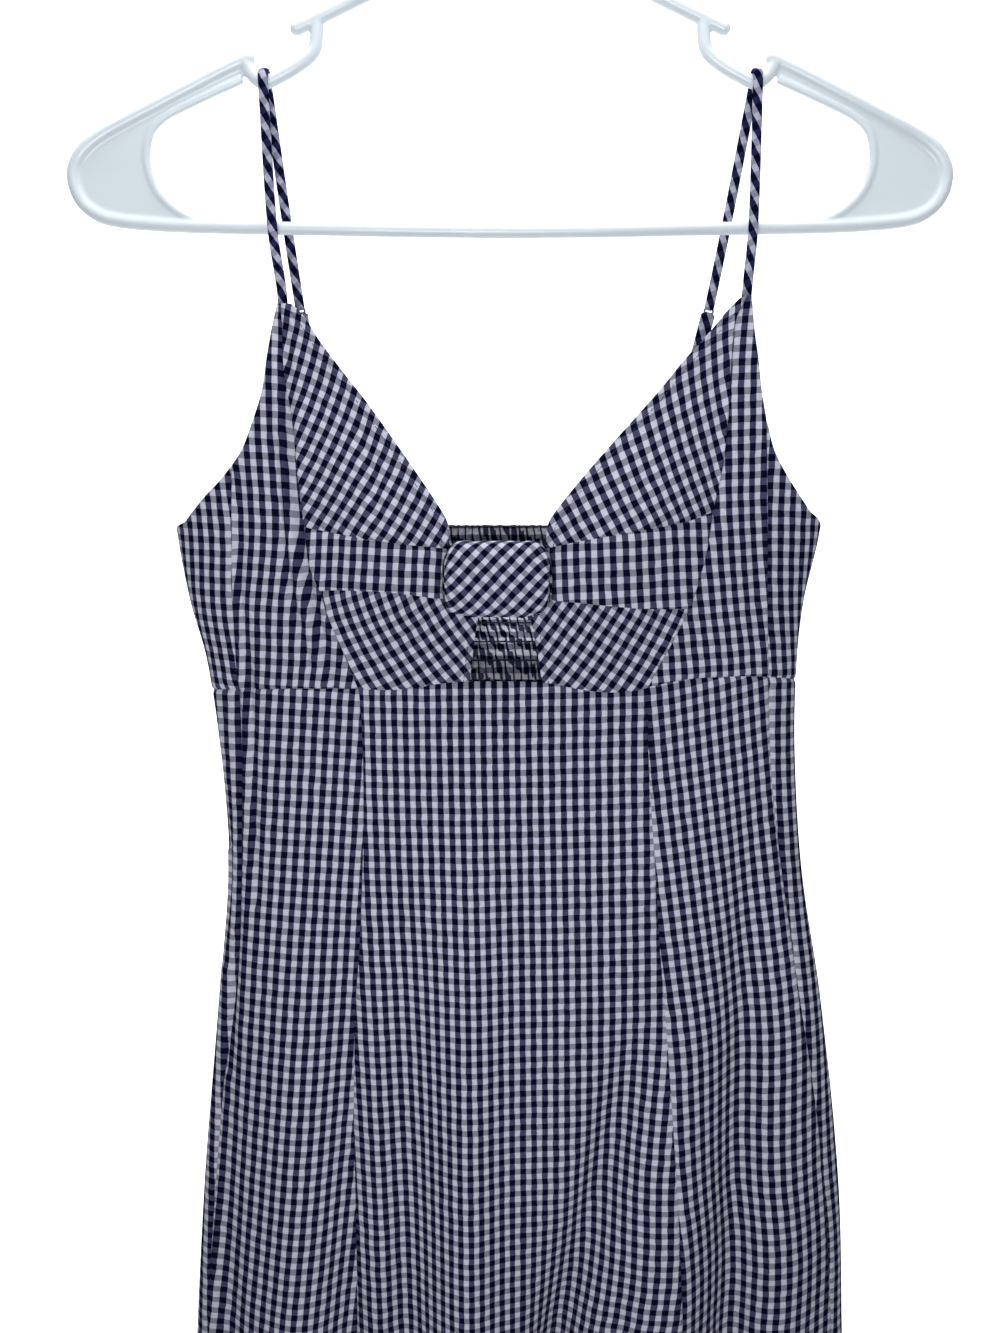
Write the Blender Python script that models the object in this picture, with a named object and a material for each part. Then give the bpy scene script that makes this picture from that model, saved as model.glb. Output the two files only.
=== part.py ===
# A sleeveless midi dress hanging by its straps from a one-piece moulded hanger.
# Metres, +Z up. The front of the dress faces -Y, and its left in the front view is -X.
# The origin is the top of the inside of the hanger's hook.
# The cloth is a wall on one closed form: a ring at each height, wide and shallow, with cups and folds on it.
# A place on that form is (turn, z). A turn is 0 at the left edge, 0.25 at the middle of the front,
# 0.5 at the right edge and 0.75 at the middle of the back.
import bisect
import math
from collections import namedtuple

import bmesh
import bpy
from mathutils import Vector

GAP = 0.0003
HEM_Z = -1.300
UNDERARM_Z = -0.3715

CLOTH_WALL = 0.0015
CUP_WALL = 0.0020
RING_POWER = 2.3

Ring = namedtuple("Ring", "z left right front back")
RINGS = (
    Ring(-0.255, -0.1646, 0.1537, 0.011, 0.010),
    Ring(-0.300, -0.1646, 0.1537, 0.017, 0.014),
    Ring(-0.340, -0.1646, 0.1537, 0.024, 0.018),
    Ring(-0.372, -0.1646, 0.1537, 0.028, 0.020),
    Ring(-0.407, -0.1599, 0.1475, 0.029, 0.022),
    Ring(-0.438, -0.1529, 0.1455, 0.028, 0.023),
    Ring(-0.485, -0.1485, 0.1468, 0.027, 0.024),
    Ring(-0.550, -0.1478, 0.1537, 0.029, 0.026),
    Ring(-0.619, -0.1552, 0.1667, 0.031, 0.028),
    Ring(-0.726, -0.1680, 0.1824, 0.034, 0.031),
    Ring(-0.830, -0.1776, 0.1905, 0.037, 0.034),
    Ring(-1.000, -0.1900, 0.2020, 0.041, 0.038),
    Ring(-1.300, -0.2070, 0.2190, 0.046, 0.044),
)

Mound = namedtuple("Mound", "x z height wide tall")
CUP_MOUNDS = (
    Mound(-0.059, -0.372, 0.012, 0.036, 0.045),
    Mound(0.054, -0.368, 0.012, 0.036, 0.045),
)

# A fold runs from its start to its end, and its depth grows along it. A ridge has a depth below 0.
Fold = namedtuple("Fold", "start_x start_z end_x end_z depth width")
FRONT_FOLDS = (
    Fold(-0.150, -0.620, -0.168, HEM_Z, 0.007, 0.010),
    Fold(-0.115, -0.620, -0.128, HEM_Z, -0.006, 0.017),
    Fold(-0.075, -0.620, -0.088, HEM_Z, 0.011, 0.013),
    Fold(-0.053, -0.660, -0.062, HEM_Z, -0.004, 0.012),
    Fold(-0.034, -0.720, -0.040, HEM_Z, 0.005, 0.011),
    Fold(-0.003, -0.700, 0.004, HEM_Z, 0.009, 0.013),
    Fold(0.030, -0.620, 0.028, HEM_Z, -0.006, 0.015),
    Fold(0.066, -0.630, 0.050, HEM_Z, 0.010, 0.012),
    Fold(0.088, -0.600, 0.080, HEM_Z, -0.006, 0.014),
    Fold(0.127, -0.600, 0.110, HEM_Z, 0.014, 0.014),
    Fold(0.152, -0.580, 0.158, HEM_Z, -0.006, 0.016),
)
BACK_FOLDS = (
    Fold(-0.118, -0.600, -0.136, HEM_Z, 0.010, 0.014),
    Fold(-0.082, -0.580, -0.092, HEM_Z, -0.006, 0.016),
    Fold(-0.046, -0.660, -0.052, HEM_Z, 0.012, 0.014),
    Fold(-0.014, -0.620, -0.016, HEM_Z, -0.006, 0.015),
    Fold(0.018, -0.700, 0.022, HEM_Z, 0.008, 0.013),
    Fold(0.056, -0.600, 0.060, HEM_Z, -0.006, 0.016),
    Fold(0.094, -0.580, 0.100, HEM_Z, 0.012, 0.014),
    Fold(0.130, -0.640, 0.142, HEM_Z, -0.005, 0.014),
    Fold(0.158, -0.660, 0.178, HEM_Z, 0.007, 0.011),
)

# Seams and edges, as places on the front seen from straight ahead, from the top down.
Place = namedtuple("Place", "x z")
ARMHOLES = {
    "left": (
        Place(-0.1096, -0.2654),
        Place(-0.1126, -0.2777),
        Place(-0.1153, -0.2915),
        Place(-0.1176, -0.3054),
        Place(-0.1222, -0.3193),
        Place(-0.1279, -0.3333),
        Place(-0.1329, -0.3403),
    ),
    "right": (
        Place(0.1139, -0.2614),
        Place(0.1157, -0.2776),
        Place(0.1180, -0.2914),
        Place(0.1197, -0.3053),
        Place(0.1223, -0.3188),
    ),
}
UNDERARMS = {
    "left": (
        Place(-0.1329, -0.3403),
        Place(-0.1389, -0.3474),
        Place(-0.1465, -0.3546),
        Place(-0.1532, -0.3618),
        Place(-0.1590, -0.3682),
    ),
    "right": (
        Place(0.1223, -0.3188),
        Place(0.1265, -0.3333),
        Place(0.1349, -0.3475),
        Place(0.1464, -0.3629),
    ),
}
CUP_SEAMS = {
    "left": (
        Place(-0.1077, -0.2656),
        Place(-0.1072, -0.2953),
        Place(-0.1044, -0.3166),
        Place(-0.1005, -0.3490),
        Place(-0.0977, -0.3690),
    ),
    "right": (
        Place(0.1120, -0.2616),
        Place(0.1066, -0.2731),
        Place(0.1046, -0.2952),
        Place(0.1042, -0.3100),
        Place(0.1031, -0.3240),
        Place(0.1012, -0.3416),
        Place(0.0970, -0.3620),
    ),
}
BAND_SEAMS = {
    "left": (
        Place(-0.0977, -0.3690),
        Place(-0.0957, -0.3854),
        Place(-0.0903, -0.3987),
    ),
    "right": (
        Place(0.0970, -0.3620),
        Place(0.0936, -0.3822),
        Place(0.0864, -0.4076),
    ),
}
LOWER_CUP_SEAMS = {
    "left": (
        Place(-0.0903, -0.3987),
        Place(-0.0879, -0.4093),
        Place(-0.0809, -0.4281),
        Place(-0.0738, -0.4478),
    ),
    "right": (
        Place(0.0864, -0.4076),
        Place(0.0792, -0.4233),
        Place(0.0729, -0.4356),
        Place(0.0674, -0.4470),
    ),
}
NECKLINES = {
    "left": (
        Place(-0.1028, -0.2658),
        Place(-0.0994, -0.2686),
        Place(-0.0950, -0.2742),
        Place(-0.0899, -0.2824),
        Place(-0.0828, -0.2917),
        Place(-0.0756, -0.3009),
        Place(-0.0680, -0.3102),
        Place(-0.0543, -0.3286),
        Place(-0.0412, -0.3469),
        Place(-0.0304, -0.3635),
        Place(-0.0284, -0.3700),
        Place(-0.0292, -0.3787),
    ),
    "right": (
        Place(0.1080, -0.2632),
        Place(0.1020, -0.2692),
        Place(0.0965, -0.2759),
        Place(0.0895, -0.2838),
        Place(0.0820, -0.2916),
        Place(0.0744, -0.3009),
        Place(0.0662, -0.3102),
        Place(0.0490, -0.3286),
        Place(0.0327, -0.3469),
        Place(0.0190, -0.3645),
        Place(0.0172, -0.3701),
        Place(0.0170, -0.3787),
    ),
}
BAND_TOPS = {
    "left": (
        Place(-0.0977, -0.3690),
        Place(-0.0757, -0.3726),
        Place(-0.0540, -0.3758),
        Place(-0.0292, -0.3787),
    ),
    "right": (
        Place(0.0970, -0.3620),
        Place(0.0836, -0.3662),
        Place(0.0574, -0.3706),
        Place(0.0340, -0.3748),
        Place(0.0170, -0.3787),
    ),
}
BAND_BOTTOMS = {
    "left": (
        Place(-0.0903, -0.3987),
        Place(-0.0794, -0.3980),
        Place(-0.0601, -0.3982),
        Place(-0.0442, -0.4002),
        Place(-0.0316, -0.4026),
    ),
    "right": (
        Place(0.0864, -0.4076),
        Place(0.0666, -0.4070),
        Place(0.0497, -0.4055),
        Place(0.0340, -0.4042),
        Place(0.0196, -0.4034),
    ),
}
BAND_ENDS = {
    "left": (
        Place(-0.0292, -0.3787),
        Place(-0.0310, -0.3840),
        Place(-0.0318, -0.3926),
        Place(-0.0316, -0.4026),
    ),
    "right": (
        Place(0.0170, -0.3787),
        Place(0.0190, -0.3840),
        Place(0.0198, -0.3926),
        Place(0.0196, -0.4034),
    ),
}
LOWER_CUP_NECKS = {
    "left": (
        Place(-0.0316, -0.4026),
        Place(-0.0292, -0.4068),
        Place(-0.0253, -0.4098),
        Place(-0.0150, -0.4118),
    ),
    "right": (
        Place(0.0196, -0.4034),
        Place(0.0168, -0.4077),
        Place(0.0141, -0.4102),
        Place(0.0100, -0.4121),
    ),
}
KEYHOLE_EDGES = {
    "left": (
        Place(-0.0150, -0.4118),
        Place(-0.0167, -0.4215),
        Place(-0.0183, -0.4342),
        Place(-0.0194, -0.4437),
    ),
    "right": (
        Place(0.0100, -0.4121),
        Place(0.0113, -0.4190),
        Place(0.0133, -0.4290),
        Place(0.0157, -0.4442),
    ),
}
FRONT_SIDE_SEAMS = {
    "left": (
        Place(-0.1329, -0.3403),
        Place(-0.1340, -0.3710),
        Place(-0.1351, -0.4050),
        Place(-0.1354, -0.4507),
    ),
    "right": (
        Place(0.1223, -0.3188),
        Place(0.1242, -0.3711),
        Place(0.1258, -0.4051),
        Place(0.1288, -0.4440),
    ),
}
WAIST = (
    Place(-0.1510, -0.4532),
    Place(-0.1354, -0.4507),
    Place(-0.1058, -0.4485),
    Place(-0.0738, -0.4478),
    Place(-0.0591, -0.4482),
    Place(-0.0460, -0.4469),
    Place(-0.0333, -0.4447),
    Place(-0.0194, -0.4437),
    Place(0.0157, -0.4442),
    Place(0.0341, -0.4477),
    Place(0.0473, -0.4493),
    Place(0.0605, -0.4489),
    Place(0.0674, -0.4470),
    Place(0.0870, -0.4435),
    Place(0.1072, -0.4428),
    Place(0.1288, -0.4440),
    Place(0.1455, -0.4482),
)
BACK_WAIST_Z = -0.4525
SKIRT_PRINCESS_SEAMS = {
    "left": (
        Place(-0.0738, -0.4478),
        Place(-0.0728, -0.4633),
        Place(-0.0727, -0.4986),
        Place(-0.0741, -0.5438),
        Place(-0.0764, -0.5815),
        Place(-0.0795, -0.6153),
        Place(-0.0818, -0.6699),
        Place(-0.0825, -0.7342),
        Place(-0.0832, -0.8054),
        Place(-0.0940, HEM_Z),
    ),
    "right": (
        Place(0.0674, -0.4470),
        Place(0.0690, -0.4852),
        Place(0.0723, -0.5269),
        Place(0.0758, -0.5721),
        Place(0.0798, -0.6152),
        Place(0.0840, -0.6646),
        Place(0.0884, -0.7211),
        Place(0.0933, -0.7994),
        Place(0.1160, HEM_Z),
    ),
}
SKIRT_SIDE_SEAMS = {
    "left": (
        Place(-0.1354, -0.4507),
        Place(-0.1372, -0.5000),
        Place(-0.1450, -0.6000),
        Place(-0.1575, -0.7000),
        Place(-0.1700, -0.8300),
        Place(-0.2010, HEM_Z),
    ),
    "right": (
        Place(0.1288, -0.4440),
        Place(0.1343, -0.5064),
        Place(0.1500, -0.6000),
        Place(0.1680, -0.7000),
        Place(0.1820, -0.8300),
        Place(0.2130, HEM_Z),
    ),
}
# The seams of the back, seen through the cloth from the front.
BACK_SEAMS = {
    "left": (Place(-0.1060, UNDERARM_Z), Place(-0.1040, BACK_WAIST_Z)),
    "right": (Place(0.0980, UNDERARM_Z), Place(0.0960, BACK_WAIST_Z)),
}
SKIRT_BACK_SEAMS = {
    "left": (Place(-0.1040, BACK_WAIST_Z), Place(-0.1060, -0.6000), Place(-0.1140, -0.8300), Place(-0.1350, HEM_Z)),
    "right": (Place(0.0960, BACK_WAIST_Z), Place(0.1010, -0.6000), Place(0.1120, -0.8300), Place(0.1370, HEM_Z)),
}

# Rows and columns of faces on each panel
CUP_ROWS = 8
BAND_ROWS = 3
LOWER_CUP_ROWS = 5
CUP_COLUMNS = 8
SIDE_FRONT_COLUMNS = 4
SIDE_BACK_COLUMNS = 9
SKIRT_ROWS = 16
SKIRT_FRONT_COLUMNS = 18
SKIRT_SIDE_FRONT_COLUMNS = 7
SKIRT_SIDE_BACK_COLUMNS = 10
SKIRT_BACK_COLUMNS = 16
BAND_LIFT = 0.0022

GATHERS = 64
SHIRRING_ROWS = 9
GATHER_HEIGHT = 0.0014
THREAD_PINCH = 0.2
INSIDE_COLUMNS = 12
INSIDE_ROWS = 3

KNOT_MIDDLE = Vector((-0.0061, -0.0370, -0.3926))
KNOT_HALF = Vector((0.0250, 0.0090, 0.0180))
KNOT_END_POWER = 3.5
KNOT_ROUND_POWER = 2.3

STRAP_WIDTH = 0.0046
STRAP_THICKNESS = 0.0024
TAB_WIDTH = 0.0068
RING_RADIUS = 0.0028
RING_WIRE = 0.0006

TUBE_RADIUS = 0.0031
ARM_RADIUS = 0.0033
HOOK_RADIUS = 0.0032
HOOK_INSIDE = 0.0190
RIM_RADIUS = 0.0016
WEB_HALF_THICKNESS = 0.0011
# The left half of the hanger: the shoulder tube from its free end round to the middle of the lower bar.
SHOULDER_TUBE = (
    Place(-0.1206, -0.1560),
    Place(-0.1345, -0.1620),
    Place(-0.1492, -0.1690),
    Place(-0.1639, -0.1760),
    Place(-0.1784, -0.1829),
    Place(-0.1885, -0.1880),
    Place(-0.1965, -0.1932),
    Place(-0.2020, -0.1990),
    Place(-0.2047, -0.2060),
    Place(-0.2037, -0.2140),
    Place(-0.2000, -0.2202),
    Place(-0.1930, -0.2250),
    Place(-0.1841, -0.2272),
    Place(-0.1718, -0.2284),
    Place(-0.1537, -0.2294),
    Place(-0.1161, -0.2302),
    Place(0.0000, -0.2318),
)
STRAP_NOTCH = (
    Place(-0.1222, -0.1572),
    Place(-0.1188, -0.1634),
    Place(-0.1140, -0.1664),
    Place(-0.1080, -0.1644),
    Place(-0.0965, -0.1582),
    Place(-0.0905, -0.1530),
    Place(-0.0888, -0.1465),
    Place(-0.0886, -0.1395),
)
UPPER_ARM = (
    Place(-0.0978, -0.1432),
    Place(-0.0755, -0.1332),
    Place(-0.0400, -0.1170),
    Place(-0.0150, -0.1045),
    Place(0.0000, -0.1000),
)
WEB_RIM = (
    Place(-0.1235, -0.1600),
    Place(-0.1400, -0.1715),
    Place(-0.1614, -0.1817),
    Place(-0.1694, -0.1921),
    Place(-0.1718, -0.2005),
    Place(-0.1701, -0.2110),
    Place(-0.1634, -0.2186),
    Place(-0.1552, -0.2239),
    Place(-0.1450, -0.2285),
)


def smooth_at(stations, values, at):
    """The cubic curve through the values, held level past both ends."""
    if at <= stations[0]:
        return values[0]
    if at >= stations[-1]:
        return values[-1]
    low = bisect.bisect_right(stations, at) - 1
    slopes = []
    for knot in (low, low + 1):
        before = max(knot - 1, 0)
        after = min(knot + 1, len(stations) - 1)
        slopes.append((values[after] - values[before]) / (stations[after] - stations[before]))
    span = stations[low + 1] - stations[low]
    share = (at - stations[low]) / span
    rise = share * share * (3 - 2 * share)
    lead = share * (1 - share) ** 2 * slopes[0] * span
    trail = share * share * (1 - share) * slopes[1] * span
    return values[low] * (1 - rise) + values[low + 1] * rise + lead - trail


def spread(places, count):
    """count + 1 places evenly spaced along the smooth curve through the given ones."""
    lengths = [0.0]
    for first, second in zip(places, places[1:]):
        lengths.append(lengths[-1] + math.hypot(second.x - first.x, second.z - first.z))
    across = [place.x for place in places]
    heights = [place.z for place in places]
    spots = []
    for step in range(count + 1):
        at = lengths[-1] * step / count
        spots.append(Place(smooth_at(lengths, across, at), smooth_at(lengths, heights, at)))
    return spots


RING_LEVELS = [-ring.z for ring in RINGS]


def ring_at(z):
    """The ring at this height: its middle, half width, front depth and back depth."""
    left = smooth_at(RING_LEVELS, [ring.left for ring in RINGS], -z)
    right = smooth_at(RING_LEVELS, [ring.right for ring in RINGS], -z)
    front = smooth_at(RING_LEVELS, [ring.front for ring in RINGS], -z)
    back = smooth_at(RING_LEVELS, [ring.back for ring in RINGS], -z)
    return (left + right) / 2, (right - left) / 2, front, back


def turn_of(place, behind=False):
    """The turn of a place that is seen from straight ahead."""
    middle, half, _, _ = ring_at(place.z)
    share = max(-1.0, min(1.0, (place.x - middle) / half))
    cosine = -math.copysign(abs(share) ** (RING_POWER / 2), share)
    turn = math.acos(cosine) / (2 * math.pi)
    return -turn if behind else turn


def fold_depth(folds, x, z):
    total = 0.0
    for fold in folds:
        run_x = fold.end_x - fold.start_x
        run_z = fold.end_z - fold.start_z
        along = ((x - fold.start_x) * run_x + (z - fold.start_z) * run_z) / (run_x**2 + run_z**2)
        along = max(0.0, min(1.0, along))
        away = math.hypot(x - fold.start_x - along * run_x, z - fold.start_z - along * run_z)
        total += fold.depth * along * (2 - along) * math.exp(-((away / fold.width) ** 2))
    return total


def plain_form(turn, z):
    """The form without its cups and folds, and how far towards the front or back of its ring it lies."""
    middle, half, front, back = ring_at(z)
    cosine = math.cos(2 * math.pi * turn)
    sine = math.sin(2 * math.pi * turn)
    across = -math.copysign(abs(cosine) ** (2 / RING_POWER), cosine)
    deep = abs(sine) ** (2 / RING_POWER)
    y = -front * deep if sine > 0 else back * deep
    return Vector((middle + half * across, y, z)), deep, sine > 0


def cloth_point(turn, z):
    """The outer face of the cloth."""
    point, deep, in_front = plain_form(turn, z)
    edge_fade = min(1.0, deep / 0.45)
    outward = -1.0 if in_front else 1.0
    if in_front:
        swell = 0.0
        for mound in CUP_MOUNDS:
            spot = ((point.x - mound.x) / mound.wide) ** 2 + ((z - mound.z) / mound.tall) ** 2
            swell += mound.height * math.exp(-spot)
        swell -= fold_depth(FRONT_FOLDS, point.x, z)
    else:
        swell = -fold_depth(BACK_FOLDS, point.x, z)
    point.y += outward * swell * edge_fade
    return point


def cloth_normal(turn, z):
    """The outward direction of the form at this place."""
    step = 0.002
    across = cloth_point(turn + step, z) - cloth_point(turn - step, z)
    down = cloth_point(turn, z - step) - cloth_point(turn, z + step)
    return down.cross(across).normalized()


def patch(left, right, top, bottom):
    """Places filled in between four edges, each a list of (turn, z)."""
    rows = len(left) - 1
    columns = len(top) - 1
    grid = []
    for row in range(rows + 1):
        v = row / rows
        line = []
        for column in range(columns + 1):
            u = column / columns
            spot = []
            for axis in (0, 1):
                sides = (1 - u) * left[row][axis] + u * right[row][axis]
                ends = (1 - v) * top[column][axis] + v * bottom[column][axis]
                upper = (1 - u) * left[0][axis] + u * right[0][axis]
                lower = (1 - u) * left[-1][axis] + u * right[-1][axis]
                spot.append(sides + ends - (1 - v) * upper - v * lower)
            line.append(tuple(spot))
        grid.append(line)
    return grid


def drawn_in(points):
    """The grid with each of its four edges moved in by half a seam's gap."""
    moved = [list(line) for line in points]
    for column in range(len(points[0])):
        for edge, inner in ((0, 1), (-1, -2)):
            inward = (points[inner][column] - points[edge][column]).normalized()
            moved[edge][column] = moved[edge][column] + inward * GAP / 2
    for row in range(len(points)):
        for edge, inner in ((0, 1), (-1, -2)):
            inward = (points[row][inner] - points[row][edge]).normalized()
            moved[row][edge] = moved[row][edge] + inward * GAP / 2
    return moved


def border(points):
    """The grid's outline, once round, from its first corner along the top row."""
    last = len(points) - 1
    side = len(points[0]) - 1
    top = [(0, column) for column in range(side)]
    right = [(row, side) for row in range(last)]
    bottom = [(last, column) for column in range(side, 0, -1)]
    left = [(row, 0) for row in range(last, 0, -1)]
    return (top, right, bottom, left)


def fill_edge(mesh, outer, inner):
    """Faces between two runs of vertices that may differ in number."""
    outer_step = 0
    inner_step = 0
    while outer_step < len(outer) - 1 or inner_step < len(inner) - 1:
        outer_share = (outer_step + 1) / (len(outer) - 1)
        inner_share = (inner_step + 1) / (len(inner) - 1)
        if abs(outer_share - inner_share) < 1e-9:
            mesh.faces.new((outer[outer_step], outer[outer_step + 1], inner[inner_step + 1], inner[inner_step]))
            outer_step += 1
            inner_step += 1
        elif outer_share < inner_share:
            mesh.faces.new((outer[outer_step], outer[outer_step + 1], inner[inner_step]))
            outer_step += 1
        else:
            mesh.faces.new((outer[outer_step], inner[inner_step + 1], inner[inner_step]))
            inner_step += 1


def add_wall(name, outside, inside, material):
    """A closed wall between two grids of points."""
    mesh = bmesh.new()
    sheets = []
    for points in (outside, inside):
        sheet = [[mesh.verts.new(point) for point in line] for line in points]
        for upper, lower in zip(sheet, sheet[1:]):
            for column in range(len(upper) - 1):
                mesh.faces.new((upper[column], lower[column], lower[column + 1], upper[column + 1]))
        sheets.append(sheet)
    edges = [border(points) for points in (outside, inside)]
    for side in range(4):
        runs = []
        for sheet, sides in zip(sheets, edges):
            spots = sides[side] + sides[(side + 1) % 4][:1]
            runs.append([sheet[row][column] for row, column in spots])
        fill_edge(mesh, runs[0], runs[1])
    bmesh.ops.recalc_face_normals(mesh, faces=mesh.faces)
    return add_mesh(name, mesh, material)


def add_mesh(name, mesh, material):
    data = bpy.data.meshes.new(name)
    mesh.to_mesh(data)
    mesh.free()
    data.materials.append(material)
    piece = bpy.data.objects.new(name, data)
    parts.objects.link(piece)
    return piece


def add_panel(name, places, wall, material, lift=None):
    """A panel of cloth over a grid of (turn, z). The lift gives its rise off the form at (u, v)."""
    rows = len(places) - 1
    columns = len(places[0]) - 1
    outside = []
    normals = []
    for row, line in enumerate(places):
        points = []
        directions = []
        for column, (turn, z) in enumerate(line):
            normal = cloth_normal(turn, z)
            rise = lift(column / columns, row / rows) if lift else 0.0
            points.append(cloth_point(turn, z) + normal * rise)
            directions.append(normal)
        outside.append(points)
        normals.append(directions)
    outside = drawn_in(outside)
    inside = []
    for points, directions in zip(outside, normals):
        inside.append([point - normal * wall for point, normal in zip(points, directions)])
    return add_wall(name, outside, inside, material)


def front_places(places, count):
    return [(turn_of(place), place.z) for place in spread(places, count)]


def back_places(places, count):
    return [(turn_of(place, behind=True), place.z) for place in spread(places, count)]


def waist_places(first_x, last_x, count):
    """Places along the waist seam of the front, between two x."""
    across = [place.x for place in WAIST]
    heights = [place.z for place in WAIST]
    places = []
    for step in range(count + 1):
        x = first_x + (last_x - first_x) * step / count
        place = Place(x, smooth_at(across, heights, x))
        places.append((turn_of(place), place.z))
    return places


def straight(first, last, count):
    places = []
    for step in range(count + 1):
        share = step / count
        places.append((first[0] + (last[0] - first[0]) * share, first[1] + (last[1] - first[1]) * share))
    return places


def whole_cup_seam(side):
    """The seam outside the cup, from the strap to the waist, as the cup, the band and the lower cup share it."""
    upper = front_places(CUP_SEAMS[side], CUP_ROWS)
    middle = front_places(BAND_SEAMS[side], BAND_ROWS)
    lower = front_places(LOWER_CUP_SEAMS[side], LOWER_CUP_ROWS)
    return upper + middle[1:] + lower[1:]


def add_cup_pieces(side, material):
    upper_seam = front_places(CUP_SEAMS[side], CUP_ROWS)
    neckline = front_places(NECKLINES[side], CUP_ROWS)
    band_top = front_places(BAND_TOPS[side], CUP_COLUMNS)
    upper_top = straight(upper_seam[0], neckline[0], CUP_COLUMNS)
    add_panel(f"upper_cup_{side}", patch(upper_seam, neckline, upper_top, band_top), CUP_WALL, material)

    band_seam = front_places(BAND_SEAMS[side], BAND_ROWS)
    band_end = front_places(BAND_ENDS[side], BAND_ROWS)
    band_bottom = front_places(BAND_BOTTOMS[side], CUP_COLUMNS)

    def band_rise(u, v):
        # The loose lower edge stands off the cup, and the knot holds it down at its end.
        return BAND_LIFT * v * max(0.0, math.sin(math.pi * (0.15 + 0.85 * u))) ** 0.5

    add_panel(f"bow_band_{side}", patch(band_seam, band_end, band_top, band_bottom), CUP_WALL, material, band_rise)

    lower_seam = front_places(LOWER_CUP_SEAMS[side], LOWER_CUP_ROWS)
    keyhole = front_places(KEYHOLE_EDGES[side], LOWER_CUP_ROWS)
    under_knot = front_places(LOWER_CUP_NECKS[side], 3)
    lower_top = band_bottom + under_knot[1:]
    waist = waist_places(LOWER_CUP_SEAMS[side][-1].x, KEYHOLE_EDGES[side][-1].x, len(lower_top) - 1)
    add_panel(f"lower_cup_{side}", patch(lower_seam, keyhole, lower_top, waist), CUP_WALL, material)


def add_side_front(side, material):
    seam = whole_cup_seam(side)
    rows = len(seam) - 1
    armhole_rows = rows // 2
    armhole = front_places(ARMHOLES[side], armhole_rows)
    side_seam = front_places(FRONT_SIDE_SEAMS[side], rows - armhole_rows)
    outer_edge = armhole + side_seam[1:]
    top = straight(outer_edge[0], seam[0], SIDE_FRONT_COLUMNS)
    bottom = waist_places(FRONT_SIDE_SEAMS[side][-1].x, LOWER_CUP_SEAMS[side][-1].x, SIDE_FRONT_COLUMNS)
    add_panel(f"side_front_bodice_{side}", patch(outer_edge, seam, top, bottom), CUP_WALL, material)


def side_turn(side):
    return 0.0 if side == "left" else 0.5


def round_the_back(side, places):
    """Back places as turns that run on past the side edge, without a jump."""
    return [(turn if side == "left" else turn + 1.0, z) for turn, z in places]


def add_side_back(side, material):
    """From the seam at the front, round the side edge, to the smocking."""
    # The front side seam shares its rows with the side front panel.
    seam_rows = len(whole_cup_seam(side)) - 1
    shared = front_places(FRONT_SIDE_SEAMS[side], seam_rows - seam_rows // 2)
    back_seam = round_the_back(side, back_places(BACK_SEAMS[side], len(shared) - 1))
    front_steps = SIDE_BACK_COLUMNS // 3
    underarm = front_places(UNDERARMS[side], front_steps)
    corner = (side_turn(side), UNDERARM_Z)
    top = underarm + [corner] + straight(corner, back_seam[0], SIDE_BACK_COLUMNS - front_steps - 1)[1:]
    waist_corner = (side_turn(side), WAIST[0].z if side == "left" else WAIST[-1].z)
    front_waist = straight(shared[-1], waist_corner, front_steps + 1)
    bottom = front_waist + straight(waist_corner, back_seam[-1], SIDE_BACK_COLUMNS - front_steps - 1)[1:]
    add_panel(f"side_back_bodice_{side}", patch(shared, back_seam, top, bottom), CLOTH_WALL, material)


def add_smocked_back(material):
    """Gathers held by rows of elastic thread: raised outside, plain inside."""
    columns = 2 * GATHERS
    rows = 2 * SHIRRING_ROWS
    left = round_the_back("left", back_places(BACK_SEAMS["left"], rows))
    right = [(turn, z) for turn, z in back_places(BACK_SEAMS["right"], rows)]
    places = patch(left, right, straight(left[0], right[0], columns), straight(left[-1], right[-1], columns))
    outside = []
    for row, line in enumerate(places):
        puff = 1.0 if row % 2 == 0 else THREAD_PINCH
        points = []
        for column, (turn, z) in enumerate(line):
            crest = column % 2
            points.append(cloth_point(turn, z) + cloth_normal(turn, z) * GATHER_HEIGHT * crest * puff)
        outside.append(points)
    outside = drawn_in(outside)
    row_step = rows // INSIDE_ROWS
    column_picks = [round(columns * step / INSIDE_COLUMNS) for step in range(INSIDE_COLUMNS + 1)]
    inside = []
    for row in range(0, rows + 1, row_step):
        points = []
        for column in column_picks:
            turn, z = places[row][column]
            points.append(cloth_point(turn, z) - cloth_normal(turn, z) * CLOTH_WALL)
        inside.append(points)
    return add_wall("smocked_back", outside, drawn_in(inside), material)


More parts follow.
